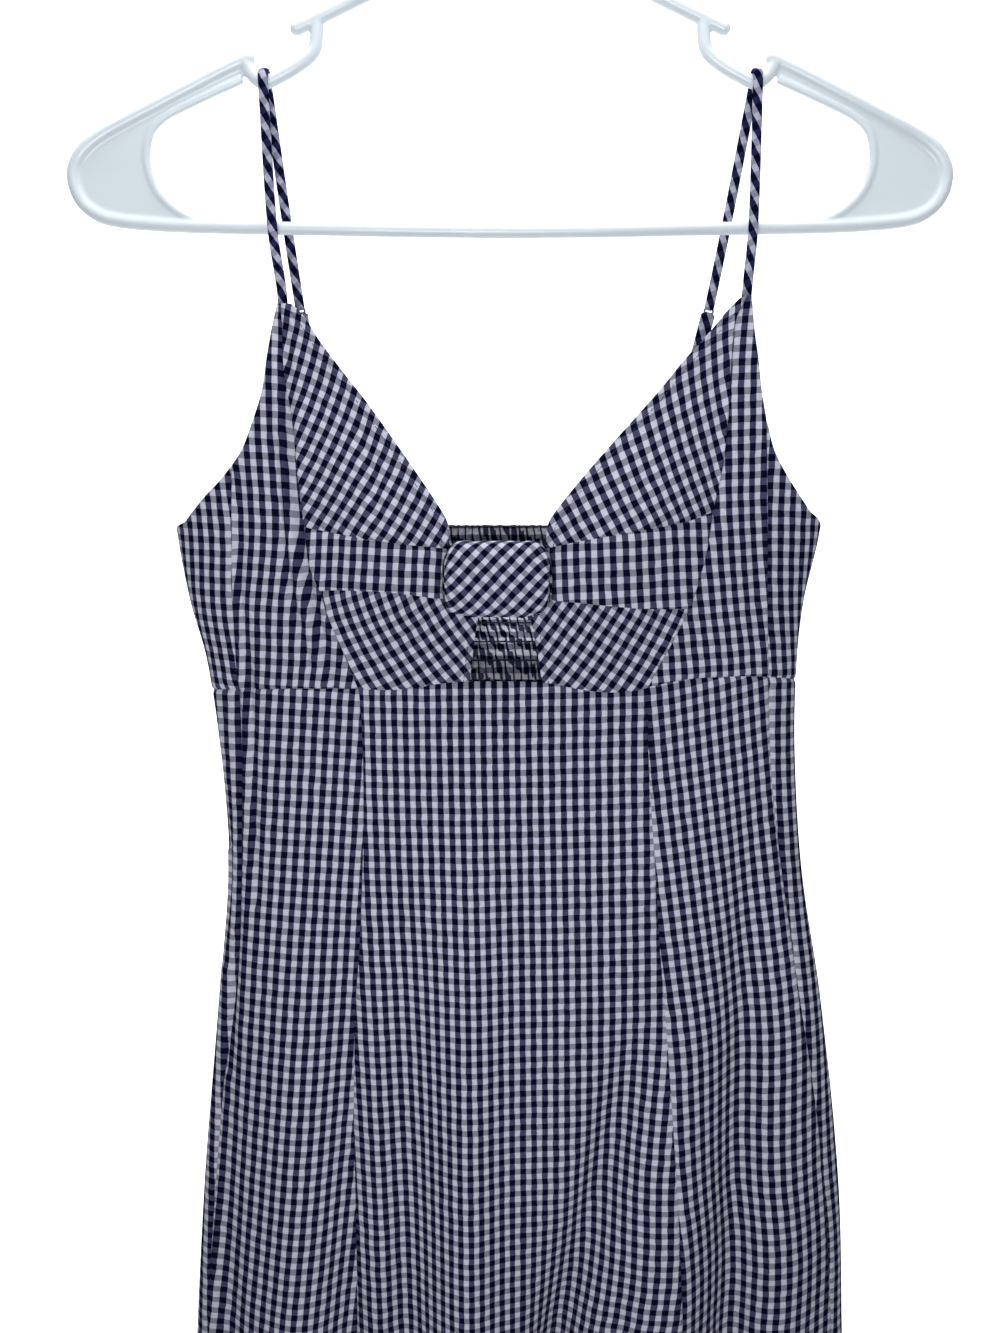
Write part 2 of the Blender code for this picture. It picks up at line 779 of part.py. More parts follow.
def add_skirt(material):
    princess = {side: front_places(SKIRT_PRINCESS_SEAMS[side], SKIRT_ROWS) for side in ("left", "right")}
    side_seams = {side: front_places(SKIRT_SIDE_SEAMS[side], SKIRT_ROWS) for side in ("left", "right")}
    back_seams = {side: back_places(SKIRT_BACK_SEAMS[side], SKIRT_ROWS) for side in ("left", "right")}

    top = waist_places(SKIRT_PRINCESS_SEAMS["left"][0].x, SKIRT_PRINCESS_SEAMS["right"][0].x, SKIRT_FRONT_COLUMNS)
    hem = straight(princess["left"][-1], princess["right"][-1], SKIRT_FRONT_COLUMNS)
    add_panel("skirt_centre_front", patch(princess["left"], princess["right"], top, hem), CLOTH_WALL, material)

    for side in ("left", "right"):
        columns = SKIRT_SIDE_FRONT_COLUMNS
        top = waist_places(SKIRT_SIDE_SEAMS[side][0].x, SKIRT_PRINCESS_SEAMS[side][0].x, columns)
        hem = straight(side_seams[side][-1], princess[side][-1], columns)
        places = patch(side_seams[side], princess[side], top, hem)
        add_panel(f"skirt_side_front_{side}", places, CLOTH_WALL, material)

        columns = SKIRT_SIDE_BACK_COLUMNS
        front_steps = columns // 3
        corner = (side_turn(side), WAIST[0].z if side == "left" else WAIST[-1].z)
        seam = round_the_back(side, back_seams[side])
        top = straight(side_seams[side][0], corner, front_steps) + straight(corner, seam[0], columns - front_steps)[1:]
        hem = straight(side_seams[side][-1], seam[-1], columns)
        places = patch(side_seams[side], seam, top, hem)
        add_panel(f"skirt_side_back_{side}", places, CLOTH_WALL, material)

    columns = SKIRT_BACK_COLUMNS
    top = straight(back_seams["left"][0], back_seams["right"][0], columns)
    hem = straight(back_seams["left"][-1], back_seams["right"][-1], columns)
    add_panel("skirt_centre_back", patch(back_seams["left"], back_seams["right"], top, hem), CLOTH_WALL, material)


def add_knot(material):
    """A tight barrel of wound cloth, from a sphere."""
    mesh = bmesh.new()
    bmesh.ops.create_uvsphere(mesh, u_segments=16, v_segments=12, radius=1.0)
    for vert in mesh.verts:
        # The sphere's poles are turned to the knot's two ends.
        end = vert.co.z
        reach = max(-1.0, min(1.0, end))
        x = math.copysign(abs(reach) ** 0.62, reach)
        girth = (1 - abs(x) ** KNOT_END_POWER) ** (1 / KNOT_END_POWER)
        round_length = math.hypot(vert.co.x, vert.co.y) or 1.0
        cosine = vert.co.x / round_length
        sine = vert.co.y / round_length
        y = math.copysign(abs(cosine) ** (2 / KNOT_ROUND_POWER), cosine) * girth
        z = math.copysign(abs(sine) ** (2 / KNOT_ROUND_POWER), sine) * girth
        vert.co = KNOT_MIDDLE + Vector((x * KNOT_HALF.x, y * KNOT_HALF.y, z * KNOT_HALF.z))
    bmesh.ops.recalc_face_normals(mesh, faces=mesh.faces)
    add_mesh("knot", mesh, material)


def smooth_path(points, steps):
    """The given points and more between them, on the smooth curve through them all."""
    lengths = [0.0]
    for first, second in zip(points, points[1:]):
        lengths.append(lengths[-1] + (second - first).length)
    marks = [0.0]
    for start, end in zip(lengths, lengths[1:]):
        marks += [start + (end - start) * (step + 1) / steps for step in range(steps)]
    path = []
    for at in marks:
        path.append(Vector([smooth_at(lengths, [point[axis] for point in points], at) for axis in range(3)]))
    return path


def add_ribbon(name, path, width, thickness, material):
    """A flattened tube along a path, its width kept along X."""
    corners = 8
    mesh = bmesh.new()
    loops = []
    for index, point in enumerate(path):
        ahead = path[min(index + 1, len(path) - 1)] - path[max(index - 1, 0)]
        ahead.normalize()
        wide = Vector((1, 0, 0)) - ahead * ahead.x
        wide.normalize()
        thin = ahead.cross(wide)
        loop = []
        for corner in range(corners):
            angle = 2 * math.pi * (corner + 0.5) / corners
            offset = wide * math.cos(angle) * width / 2 + thin * math.sin(angle) * thickness / 2
            loop.append(mesh.verts.new(point + offset / math.cos(math.pi / corners)))
        loops.append(loop)
    for first, second in zip(loops, loops[1:]):
        for corner in range(corners):
            after = (corner + 1) % corners
            mesh.faces.new((first[corner], first[after], second[after], second[corner]))
    mesh.faces.new(loops[0])
    mesh.faces.new(loops[-1])
    bmesh.ops.recalc_face_normals(mesh, faces=mesh.faces)
    return add_mesh(name, mesh, material)


# Where each strap lies: over the notch, past the lower bar in front and behind, its two ends, and
# where its tab meets the back.
Strap = namedtuple("Strap", "notch_x notch_z front_bar_x back_bar_x front_x front_z ring_x ring_z tab_x")
STRAPS = {
    "left": Strap(-0.1134, -0.1664, -0.1112, -0.1060, -0.1075, -0.2646, -0.1018, -0.2672, -0.0887),
    "right": Strap(0.1136, -0.1664, 0.1138, 0.1030, 0.1119, -0.2604, 0.0968, -0.2672, 0.0748),
}
BAR_CLEAR_Y = 0.0062
BAR_Z = -0.2310
# The tab leans, so its middle ends higher than a seam's gap above the back's edge.
TAB_FOOT_RISE = 0.0013


def add_strap(side, cloth, metal):
    strap = STRAPS[side]
    loop_radius = ARM_RADIUS + GAP + STRAP_THICKNESS / 2 / math.cos(math.pi / 8)
    front_y = -0.0085
    ring_y = 0.0085
    ring_top = strap.ring_z + RING_RADIUS + RING_WIRE
    front_run = [
        Vector((strap.front_x, front_y, strap.front_z + GAP)),
        Vector((strap.front_bar_x, -BAR_CLEAR_Y, BAR_Z)),
        Vector((strap.notch_x, -loop_radius, strap.notch_z)),
    ]
    back_run = [
        Vector((strap.notch_x, loop_radius, strap.notch_z)),
        Vector((strap.back_bar_x, BAR_CLEAR_Y, BAR_Z)),
        Vector((strap.ring_x, ring_y, ring_top + GAP)),
    ]
    over = []
    for degrees in (150, 120, 90, 60, 30):
        angle = math.radians(degrees)
        y = loop_radius * math.cos(angle)
        z = strap.notch_z + loop_radius * math.sin(angle)
        over.append(Vector((strap.notch_x, y, z)))
    path = smooth_path(front_run, 5) + over + smooth_path(back_run, 5)
    add_ribbon(f"strap_{side}", path, STRAP_WIDTH, STRAP_THICKNESS, cloth)

    bpy.ops.mesh.primitive_torus_add(
        major_segments=16,
        minor_segments=6,
        major_radius=RING_RADIUS,
        minor_radius=RING_WIRE,
        location=(strap.ring_x, ring_y, strap.ring_z),
        rotation=(math.pi / 2, 0, 0),
    )
    ring = bpy.context.object
    ring.name = f"strap_ring_{side}"
    ring.data.materials.append(metal)
    ring.data.shade_smooth()
    for holder in ring.users_collection:
        holder.objects.unlink(ring)
    parts.objects.link(ring)

    tab_top = Vector((strap.ring_x, ring_y, strap.ring_z - RING_RADIUS - RING_WIRE - GAP))
    foot_place = Place(strap.tab_x, UNDERARM_Z)
    foot = cloth_point(turn_of(foot_place, behind=True), UNDERARM_Z) + Vector((0, -CLOTH_WALL / 2, TAB_FOOT_RISE))
    middle = (tab_top + foot) / 2 + Vector((0, 0.0015, 0))
    add_ribbon(f"strap_tab_{side}", smooth_path([tab_top, middle, foot], 4), TAB_WIDTH, STRAP_THICKNESS, cloth)


def mirrored(places):
    return list(places) + [Place(-place.x, place.z) for place in reversed(places[:-1])]


def flipped(places):
    return [Place(-place.x, place.z) for place in places]


def curve_object(name, places, steps, radius):
    """A round tube through the places, in the hanger's plane."""
    data = bpy.data.curves.new(name, "CURVE")
    data.dimensions = "3D"
    data.bevel_depth = radius
    data.bevel_resolution = 2
    data.use_fill_caps = True
    path = smooth_path([Vector((place.x, 0, place.z)) for place in places], steps) if steps else places
    spline = data.splines.new("POLY")
    spline.points.add(len(path) - 1)
    for target, point in zip(spline.points, path):
        target.co = (*point, 1)
    return bpy.data.objects.new(name, data)


def web_object(name, places):
    """The thin plate inside the shoulder, up to its rim."""
    data = bpy.data.curves.new(name, "CURVE")
    data.dimensions = "2D"
    data.fill_mode = "BOTH"
    data.extrude = WEB_HALF_THICKNESS
    spline = data.splines.new("POLY")
    spline.points.add(len(places) - 1)
    for target, place in zip(spline.points, places):
        target.co = (place.x, place.z, 0, 1)
    spline.use_cyclic_u = True
    web = bpy.data.objects.new(name, data)
    web.rotation_euler = (math.pi / 2, 0, 0)
    return web


def as_mesh(shape, holder):
    """The curve's mesh, its caps joined, in place of the curve."""
    holder.objects.link(shape)
    bpy.context.view_layer.update()
    graph = bpy.context.evaluated_depsgraph_get()
    data = bpy.data.meshes.new_from_object(shape.evaluated_get(graph))
    mesh = bmesh.new()
    mesh.from_mesh(data)
    bmesh.ops.remove_doubles(mesh, verts=mesh.verts, dist=1e-6)
    bmesh.ops.recalc_face_normals(mesh, faces=mesh.faces)
    mesh.to_mesh(data)
    mesh.free()
    piece = bpy.data.objects.new(shape.name + "_mesh", data)
    piece.matrix_world = shape.matrix_world
    holder.objects.link(piece)
    bpy.data.objects.remove(shape)
    return piece


def hook_path():
    """Up the stem and round the hook, to its free end at the left."""
    centre_z = -HOOK_INSIDE
    radius = HOOK_INSIDE + HOOK_RADIUS
    stem = [Place(0.0, -0.1020), Place(0.0, -0.0820), Place(0.0002, -0.0640), Place(0.0040, -0.0500)]
    points = smooth_path([Vector((place.x, 0, place.z)) for place in stem], 2)
    for degrees in range(-50, 206, 17):
        angle = math.radians(degrees)
        points.append(Vector((radius * math.cos(angle), 0, centre_z + radius * math.sin(angle))))
    return points


def add_hanger(material):
    """One moulded piece: tubes, thin webs and their rims joined together."""
    body = as_mesh(curve_object("shoulder_loop", mirrored(SHOULDER_TUBE), 1, TUBE_RADIUS), parts)
    body.name = "hanger"
    shapes = [
        curve_object("upper_arm", mirrored(UPPER_ARM), 2, ARM_RADIUS),
        curve_object("hook", hook_path(), 0, HOOK_RADIUS),
    ]
    # The web stops where its rim meets the lower bar.
    outer = list(SHOULDER_TUBE[:-2])
    rim = spread(WEB_RIM, 14)
    for side, turned in (("left", list), ("right", flipped)):
        shapes.append(curve_object(f"notch_{side}", turned(STRAP_NOTCH), 2, ARM_RADIUS * 0.94))
        shapes.append(curve_object(f"rim_{side}", turned(rim), 1, RIM_RADIUS))
        shapes.append(web_object(f"web_{side}", turned(rim) + list(reversed(turned(outer)))))
    for shape in shapes:
        helper = as_mesh(shape, helpers)
        helper.hide_render = True
        helper.display_type = "WIRE"
        join = body.modifiers.new(helper.name, "BOOLEAN")
        join.operation = "UNION"
        join.solver = "EXACT"
        join.object = helper
    body.data.materials.clear()
    body.data.materials.append(material)
    body.data.shade_smooth()


def make_material(name, colour, roughness, metallic):
    material = bpy.data.materials.new(name)
    material.use_nodes = True
    shader = material.node_tree.nodes["Principled BSDF"]
    shader.inputs["Base Color"].default_value = (*colour, 1)
    shader.inputs["Roughness"].default_value = roughness
    shader.inputs["Metallic"].default_value = metallic
    return material


for old in list(bpy.data.objects):
    bpy.data.objects.remove(old)
parts = bpy.data.collections.new("midi_dress_on_hanger")
helpers = bpy.data.collections.new("helpers")
bpy.context.scene.collection.children.link(parts)
bpy.context.scene.collection.children.link(helpers)

gingham = make_material("yarn_dyed_gingham", (0.13, 0.14, 0.20), 0.85, 0.0)
moulded = make_material("moulded_plastic", (0.78, 0.83, 0.88), 0.35, 0.0)
ring_metal = make_material("painted_metal_ring", (0.72, 0.70, 0.72), 0.4, 0.6)

add_hanger(moulded)
for side_name in ("left", "right"):
    add_cup_pieces(side_name, gingham)
    add_side_front(side_name, gingham)
    add_side_back(side_name, gingham)
    add_strap(side_name, gingham, ring_metal)
add_knot(gingham)
add_smocked_back(gingham)
add_skirt(gingham)
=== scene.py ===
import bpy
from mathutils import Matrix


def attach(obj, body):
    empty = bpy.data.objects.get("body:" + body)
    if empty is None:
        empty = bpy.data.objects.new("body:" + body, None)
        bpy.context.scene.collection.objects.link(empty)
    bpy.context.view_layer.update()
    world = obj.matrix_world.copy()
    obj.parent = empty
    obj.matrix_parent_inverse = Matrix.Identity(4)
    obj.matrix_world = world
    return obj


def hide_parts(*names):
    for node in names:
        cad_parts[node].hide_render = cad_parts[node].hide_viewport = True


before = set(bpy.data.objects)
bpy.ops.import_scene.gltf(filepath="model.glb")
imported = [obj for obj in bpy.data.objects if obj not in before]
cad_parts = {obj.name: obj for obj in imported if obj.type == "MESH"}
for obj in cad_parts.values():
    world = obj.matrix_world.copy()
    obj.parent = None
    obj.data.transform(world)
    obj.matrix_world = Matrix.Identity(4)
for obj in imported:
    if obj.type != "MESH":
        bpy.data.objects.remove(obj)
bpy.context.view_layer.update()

# A gingham midi dress hanging by its straps from a moulded hanger, dressed over its CAD frame.
# The front faces -Y and "left" is -X. The cloth follows the same form as the CAD solids, apart from its folds:
# those at the front lie where the photograph shows them, and all of them grow deep sooner.
import math

import bmesh
import bpy
import numpy as np
from mathutils import Matrix, Vector

print("dress: frame loaded")

view = {
    "place": (-0.0047, -0.5735, -0.33),
    "pitch": 79.0,  # degrees from straight down
    "focalPixels": 1150,
    "imageHeight": 1333,
    "sensorWidth": 36,
}
studio = {
    "floorHeight": -1.62,
    "backdropY": 1.5,
    "sweepRadius": 0.6,
    "sweepSteps": 16,
    "paperHalfWidth": 4.0,
    "paperTop": 2.5,
    "keyPlace": (-0.06, -0.66, -0.48),
    "keyAim": (0.02, 0.0, -0.49),
    "keySize": 0.34,
    "keyPower": 2.9,
    "fillPlace": (1.1, -1.3, -0.3),
    "fillSize": 1.6,
    "fillPower": 0.9,
    "backdropPlace": (0, 0.25, 0.5),
    "backdropAim": (0, 1.5, -0.7),
    "backdropSize": 1.4,
    "backdropPower": 16,
    "paperGlow": 0.85,  # the paper is lit from behind as well
    "glowRange": (0.3, 0.9),  # how far back the glow starts and is full
    "worldStrength": 0.11,
}


def srgb(code):
    # One hex colour, turned linear
    channels = [int(code[i:i + 2], 16) / 255 for i in (1, 3, 5)]
    return tuple(c / 12.92 if c <= 0.04045 else ((c + 0.055) / 1.055) ** 2.4 for c in channels) + (1.0,)


def addNode(tree, kind, values=None, links=None, **settings):
    node = tree.nodes.new(kind)
    for name, value in settings.items():
        setattr(node, name, value)
    for socket, value in (values or {}).items():
        node.inputs[socket].default_value = value
    for socket, source in (links or {}).items():
        tree.links.new(source, node.inputs[socket])
    return node


def newMaterial(name):
    material = bpy.data.materials.new(name)
    material.use_nodes = True
    return material, material.node_tree, material.node_tree.nodes["Principled BSDF"]


def cloudedMaterial(name, scale, detail, first, second, stretch=(1.0, 1.0, 1.0)):
    # Two tones that run into each other, placed by the object's own coordinates
    material, tree, shader = newMaterial(name)
    place = addNode(tree, "ShaderNodeTexCoord").outputs["Object"]
    flow = addNode(tree, "ShaderNodeMapping", {"Scale": stretch}, {"Vector": place}).outputs[0]
    cloud = addNode(tree, "ShaderNodeTexNoise", {"Scale": scale, "Detail": detail}, {"Vector": flow}).outputs["Fac"]
    colour = addNode(tree, "ShaderNodeMix", {6: first, 7: second}, {0: cloud}, data_type="RGBA")
    tree.links.new(colour.outputs[2], shader.inputs["Base Color"])
    return material, tree, shader, place, cloud


def addLight(name, place, aim, size, power):
    data = bpy.data.lights.new(name, "AREA")
    data.shape = "DISK"
    data.size = size
    data.energy = power
    light = bpy.data.objects.new(name, data)
    light.location = place
    light.rotation_euler = (Vector(aim) - Vector(place)).to_track_quat("-Z", "Y").to_euler()
    bpy.context.scene.collection.objects.link(light)


def addObject(name, data):
    piece = bpy.data.objects.new(name, data)
    bpy.context.scene.collection.objects.link(piece)
    return piece


def buildStudio():
    lens = bpy.data.cameras.new("viewCamera")
    lens.sensor_fit = "AUTO"
    lens.sensor_width = view["sensorWidth"]
    lens.lens = view["focalPixels"] / view["imageHeight"] * view["sensorWidth"]
    camera = addObject("viewCamera", lens)
    camera.location = view["place"]
    camera.rotation_euler = (math.radians(view["pitch"]), 0, 0)
    bpy.context.scene.camera = camera
    bpy.context.scene.view_settings.view_transform = "Standard"

    for kind, aim in (("key", "key"), ("fill", "key"), ("backdrop", "backdrop")):
        addLight(kind + "Light", studio[kind + "Place"], studio[aim + "Aim"], studio[kind + "Size"],
                 studio[kind + "Power"])

    world = bpy.data.worlds.new("softRoom")
    world.use_nodes = True
    background = world.node_tree.nodes["Background"]
    background.inputs["Color"].default_value = srgb("#FAFBFF")
    background.inputs["Strength"].default_value = studio["worldStrength"]
    bpy.context.scene.world = world

    # Seamless paper, swept up behind the dress
    paper, tree, shader = newMaterial("seamlessPaper")
    shader.inputs["Base Color"].default_value = srgb("#FBFBFC")
    shader.inputs["Roughness"].default_value = 0.9
    shader.inputs["Emission Color"].default_value = srgb("#FFFFFF")
    place = addNode(tree, "ShaderNodeTexCoord").outputs["Object"]
    split = addNode(tree, "ShaderNodeSeparateXYZ", links={0: place})
    nearest, farthest = studio["glowRange"]
    behind = addNode(tree, "ShaderNodeMapRange",
                     {"From Min": nearest, "From Max": farthest, "To Max": studio["paperGlow"]},
                     {"Value": split.outputs[1]}, interpolation_type="SMOOTHSTEP")
    tree.links.new(behind.outputs[0], shader.inputs["Emission Strength"])
    # Seen from behind, the paper is clear, so that it hides nothing
    side = addNode(tree, "ShaderNodeNewGeometry").outputs["Backfacing"]
    clear = addNode(tree, "ShaderNodeBsdfTransparent").outputs[0]
    mixed = addNode(tree, "ShaderNodeMixShader", links={0: side, 1: shader.outputs[0], 2: clear})
    tree.links.new(mixed.outputs[0], tree.nodes["Material Output"].inputs["Surface"])
    radius, half, floor = studio["sweepRadius"], studio["paperHalfWidth"], studio["floorHeight"]
    profile = [(-half, floor)]
    for step in range(studio["sweepSteps"] + 1):
        angle = math.pi / 2 * step / studio["sweepSteps"]
        profile.append((studio["backdropY"] - radius + radius * math.sin(angle),
                        floor + radius * (1 - math.cos(angle))))
    profile.append((studio["backdropY"], studio["paperTop"]))
    corners = [(x, y, z) for y, z in profile for x in (-half, half)]
    faces = [(2 * i, 2 * i + 1, 2 * i + 3, 2 * i + 2) for i in range(len(profile) - 1)]
    data = bpy.data.meshes.new("paperSweep")
    data.from_pydata(corners, [], faces)
    data.materials.append(paper)
    data.shade_smooth()
    addObject("paperSweep", data)


buildStudio()
print("dress: camera, lights and floor")

# Seams and edges as places (x, z) on the front, seen from straight ahead, from the top down
seams = {
    "armhole": {
        "left": ((-0.1096, -0.2654), (-0.1126, -0.2777), (-0.1153, -0.2915), (-0.1176, -0.3054), (-0.1222, -0.3193),
                 (-0.1279, -0.3333), (-0.1329, -0.3403)),
        "right": ((0.1139, -0.2614), (0.1157, -0.2776), (0.118, -0.2914), (0.1197, -0.3053), (0.1223, -0.3188)),
    },
    "underarm": {
        "left": ((-0.1329, -0.3403), (-0.1389, -0.3474), (-0.1465, -0.3546), (-0.1532, -0.3618), (-0.159, -0.3682)),
        "right": ((0.1223, -0.3188), (0.1265, -0.3333), (0.1349, -0.3475), (0.1464, -0.3629)),
    },
    "cup": {
        "left": ((-0.1077, -0.2656), (-0.1072, -0.2953), (-0.1044, -0.3166), (-0.1005, -0.349), (-0.0977, -0.369)),
        "right": ((0.112, -0.2616), (0.1066, -0.2731), (0.1046, -0.2952), (0.1042, -0.31), (0.1031, -0.324),
                  (0.1012, -0.3416), (0.097, -0.362)),
    },
    "band": {
        "left": ((-0.0977, -0.369), (-0.0957, -0.3854), (-0.0903, -0.3987)),
        "right": ((0.097, -0.362), (0.0936, -0.3822), (0.0864, -0.4076)),
    },
    "lowerCup": {
        "left": ((-0.0903, -0.3987), (-0.0879, -0.4093), (-0.0809, -0.4281), (-0.0738, -0.4478)),
        "right": ((0.0864, -0.4076), (0.0792, -0.4233), (0.0729, -0.4356), (0.0674, -0.447)),
    },
    "neckline": {
        "left": ((-0.1028, -0.2658), (-0.0994, -0.2686), (-0.095, -0.2742), (-0.0899, -0.2824), (-0.0828, -0.2917),
                 (-0.0756, -0.3009), (-0.068, -0.3102), (-0.0543, -0.3286), (-0.0412, -0.3469), (-0.0304, -0.3635),
                 (-0.0284, -0.37), (-0.0292, -0.3787)),
        "right": ((0.108, -0.2632), (0.102, -0.2692), (0.0965, -0.2759), (0.0895, -0.2838), (0.082, -0.2916),
                  (0.0744, -0.3009), (0.0662, -0.3102), (0.049, -0.3286), (0.0327, -0.3469), (0.019, -0.3645),
                  (0.0172, -0.3701), (0.017, -0.3787)),
    },
    "bandTop": {
        "left": ((-0.0977, -0.369), (-0.0757, -0.3726), (-0.054, -0.3758), (-0.0292, -0.3787)),
        "right": ((0.097, -0.362), (0.0836, -0.3662), (0.0574, -0.3706), (0.034, -0.3748), (0.017, -0.3787)),
    },
    "bandBottom": {
        "left": ((-0.0903, -0.3987), (-0.0794, -0.398), (-0.0601, -0.3982), (-0.0442, -0.4002), (-0.0316, -0.4026)),
        "right": ((0.0864, -0.4076), (0.0666, -0.407), (0.0497, -0.4055), (0.034, -0.4042), (0.0196, -0.4034)),
    },
    "bandEnd": {
        "left": ((-0.0292, -0.3787), (-0.031, -0.384), (-0.0318, -0.3926), (-0.0316, -0.4026)),
        "right": ((0.017, -0.3787), (0.019, -0.384), (0.0198, -0.3926), (0.0196, -0.4034)),
    },
    "underKnot": {
        "left": ((-0.0316, -0.4026), (-0.0292, -0.4068), (-0.0253, -0.4098), (-0.015, -0.4118)),
        "right": ((0.0196, -0.4034), (0.0168, -0.4077), (0.0141, -0.4102), (0.01, -0.4121)),
    },
    "keyhole": {
        "left": ((-0.015, -0.4118), (-0.0167, -0.4215), (-0.0183, -0.4342), (-0.0194, -0.4437)),
        "right": ((0.01, -0.4121), (0.0113, -0.419), (0.0133, -0.429), (0.0157, -0.4442)),
    },
    "frontSide": {
        "left": ((-0.1329, -0.3403), (-0.134, -0.371), (-0.1351, -0.405), (-0.1354, -0.4507)),
        "right": ((0.1223, -0.3188), (0.1242, -0.3711), (0.1258, -0.4051), (0.1288, -0.444)),
    },
    "princess": {
        "left": ((-0.0738, -0.4478), (-0.0728, -0.4633), (-0.0727, -0.4986), (-0.0741, -0.5438), (-0.0764, -0.5815),
                 (-0.0795, -0.6153), (-0.0818, -0.6699), (-0.0825, -0.7342), (-0.0832, -0.8054), (-0.094, -1.3)),
        "right": ((0.0674, -0.447), (0.069, -0.4852), (0.0723, -0.5269), (0.0758, -0.5721), (0.0798, -0.6152),
                  (0.084, -0.6646), (0.0884, -0.7211), (0.0933, -0.7994), (0.116, -1.3)),
    },
    "skirtSide": {
        "left": ((-0.1354, -0.4507), (-0.1372, -0.5), (-0.145, -0.6), (-0.1575, -0.7), (-0.17, -0.83),
                 (-0.201, -1.3)),
        "right": ((0.1288, -0.444), (0.1343, -0.5064), (0.15, -0.6), (0.168, -0.7), (0.182, -0.83), (0.213, -1.3)),
    },
    "back": {
        "left": ((-0.106, -0.3715), (-0.104, -0.4525)),
        "right": ((0.098, -0.3715), (0.096, -0.4525)),
    },
    "skirtBack": {
        "left": ((-0.104, -0.4525), (-0.106, -0.6), (-0.114, -0.83), (-0.135, -1.3)),
        "right": ((0.096, -0.4525), (0.101, -0.6), (0.112, -0.83), (0.137, -1.3)),
    },
}
waistline = (
    (-0.151, -0.4532), (-0.1354, -0.4507), (-0.1058, -0.4485), (-0.0738, -0.4478), (-0.0591, -0.4482),
    (-0.046, -0.4469), (-0.0333, -0.4447), (-0.0194, -0.4437), (0.0157, -0.4442), (0.0341, -0.4477),
    (0.0473, -0.4493), (0.0605, -0.4489), (0.0674, -0.447), (0.087, -0.4435), (0.1072, -0.4428),
    (0.1288, -0.444), (0.1455, -0.4482),
)


# The cloth's form: a ring at each height, wide and shallow, with cups and folds on it
clothForm = {
    "ringPower": 2.3,
    # z, left, right, front, back
    "rings": ((-0.255, -0.1646, 0.1537, 0.011, 0.01), (-0.3, -0.1646, 0.1537, 0.017, 0.014),
              (-0.34, -0.1646, 0.1537, 0.024, 0.018), (-0.372, -0.1646, 0.1537, 0.028, 0.02),
              (-0.407, -0.1599, 0.1475, 0.029, 0.022), (-0.438, -0.1529, 0.1455, 0.028, 0.023),
              (-0.485, -0.1485, 0.1468, 0.027, 0.024), (-0.55, -0.1478, 0.1537, 0.029, 0.026),
              (-0.619, -0.1552, 0.1667, 0.031, 0.028), (-0.726, -0.168, 0.1824, 0.034, 0.031),
              (-0.83, -0.1776, 0.1905, 0.037, 0.034), (-1.0, -0.19, 0.202, 0.041, 0.038),
              (-1.3, -0.207, 0.219, 0.046, 0.044)),
    # x, z, height, wide, tall
    "mounds": ((-0.059, -0.372, 0.012, 0.036, 0.045), (0.054, -0.368, 0.012, 0.036, 0.045)),
    # start x, start z, end x, end z, depth, width
    "frontFolds": ((-0.15, -0.58, -0.168, -1.3, 0.007, 0.01), (-0.112, -0.56, -0.128, -1.3, -0.007, 0.017),
                   (-0.082, -0.56, -0.092, -1.3, 0.012, 0.012), (-0.054, -0.54, -0.058, -1.3, 0.013, 0.013),
                   (-0.018, -0.5, -0.027, -1.3, -0.01, 0.015), (0.07, -0.62, 0.016, -0.86, 0.012, 0.012),
                   (0.024, -0.72, 0.014, -1.3, 0.013, 0.013), (0.076, -0.62, 0.07, -1.3, -0.01, 0.013),
                   (0.092, -0.6, 0.09, -1.3, -0.01, 0.011), (0.123, -0.49, 0.118, -1.3, 0.014, 0.011),
                   (0.152, -0.58, 0.158, -1.3, -0.006, 0.016)),
    "backFolds": ((-0.118, -0.6, -0.136, -1.3, 0.01, 0.014), (-0.082, -0.58, -0.092, -1.3, -0.006, 0.016),
                  (-0.046, -0.66, -0.052, -1.3, 0.012, 0.014), (-0.014, -0.62, -0.016, -1.3, -0.006, 0.015),
                  (0.018, -0.7, 0.022, -1.3, 0.008, 0.013), (0.056, -0.6, 0.06, -1.3, -0.006, 0.016),
                  (0.094, -0.58, 0.1, -1.3, 0.012, 0.014), (0.13, -0.64, 0.142, -1.3, -0.005, 0.014),
                  (0.158, -0.66, 0.178, -1.3, 0.007, 0.011)),
    "foldPower": 4,  # how soon a fold grows to its depth
    "sideShare": 0.45,  # how near the sides the folds and cups start to fade
    "normalStep": 0.002,
    "underarmZ": -0.3715,
    "hemZ": -1.3,
}


def smoothAt(stations, values, at):
    # The cubic curve through the values, held level past both ends
    stations = np.asarray(stations, float)
    values = np.asarray(values, float)
    at = np.clip(at, stations[0], stations[-1])
    low = np.clip(np.searchsorted(stations, at, side="right") - 1, 0, len(stations) - 2)
    slopes = np.empty(len(stations))
    slopes[1:-1] = (values[2:] - values[:-2]) / (stations[2:] - stations[:-2])
    slopes[0] = (values[1] - values[0]) / (stations[1] - stations[0])
    slopes[-1] = (values[-1] - values[-2]) / (stations[-1] - stations[-2])
    span = stations[low + 1] - stations[low]
    share = (at - stations[low]) / span
    rise = share * share * (3 - 2 * share)
    lead = share * (1 - share) ** 2 * slopes[low] * span
    trail = share * share * (1 - share) * slopes[low + 1] * span
    return values[low] * (1 - rise) + values[low + 1] * rise + lead - trail


def runningLength(points, axis=0):
    # How far along the run of points each one lies
    steps = np.linalg.norm(np.diff(points, axis=axis), axis=-1)
    return np.concatenate([np.zeros_like(steps.take([0], axis)), np.cumsum(steps, axis=axis)], axis)


def widestAndLongest(points):
    steps = [np.linalg.norm(np.diff(points, axis=axis), axis=2) for axis in (1, 0)]
    return steps[0].sum(axis=1).max(), steps[1].sum(axis=0).max()


def unit(vectors):
    return vectors / np.linalg.norm(vectors, axis=-1, keepdims=True)


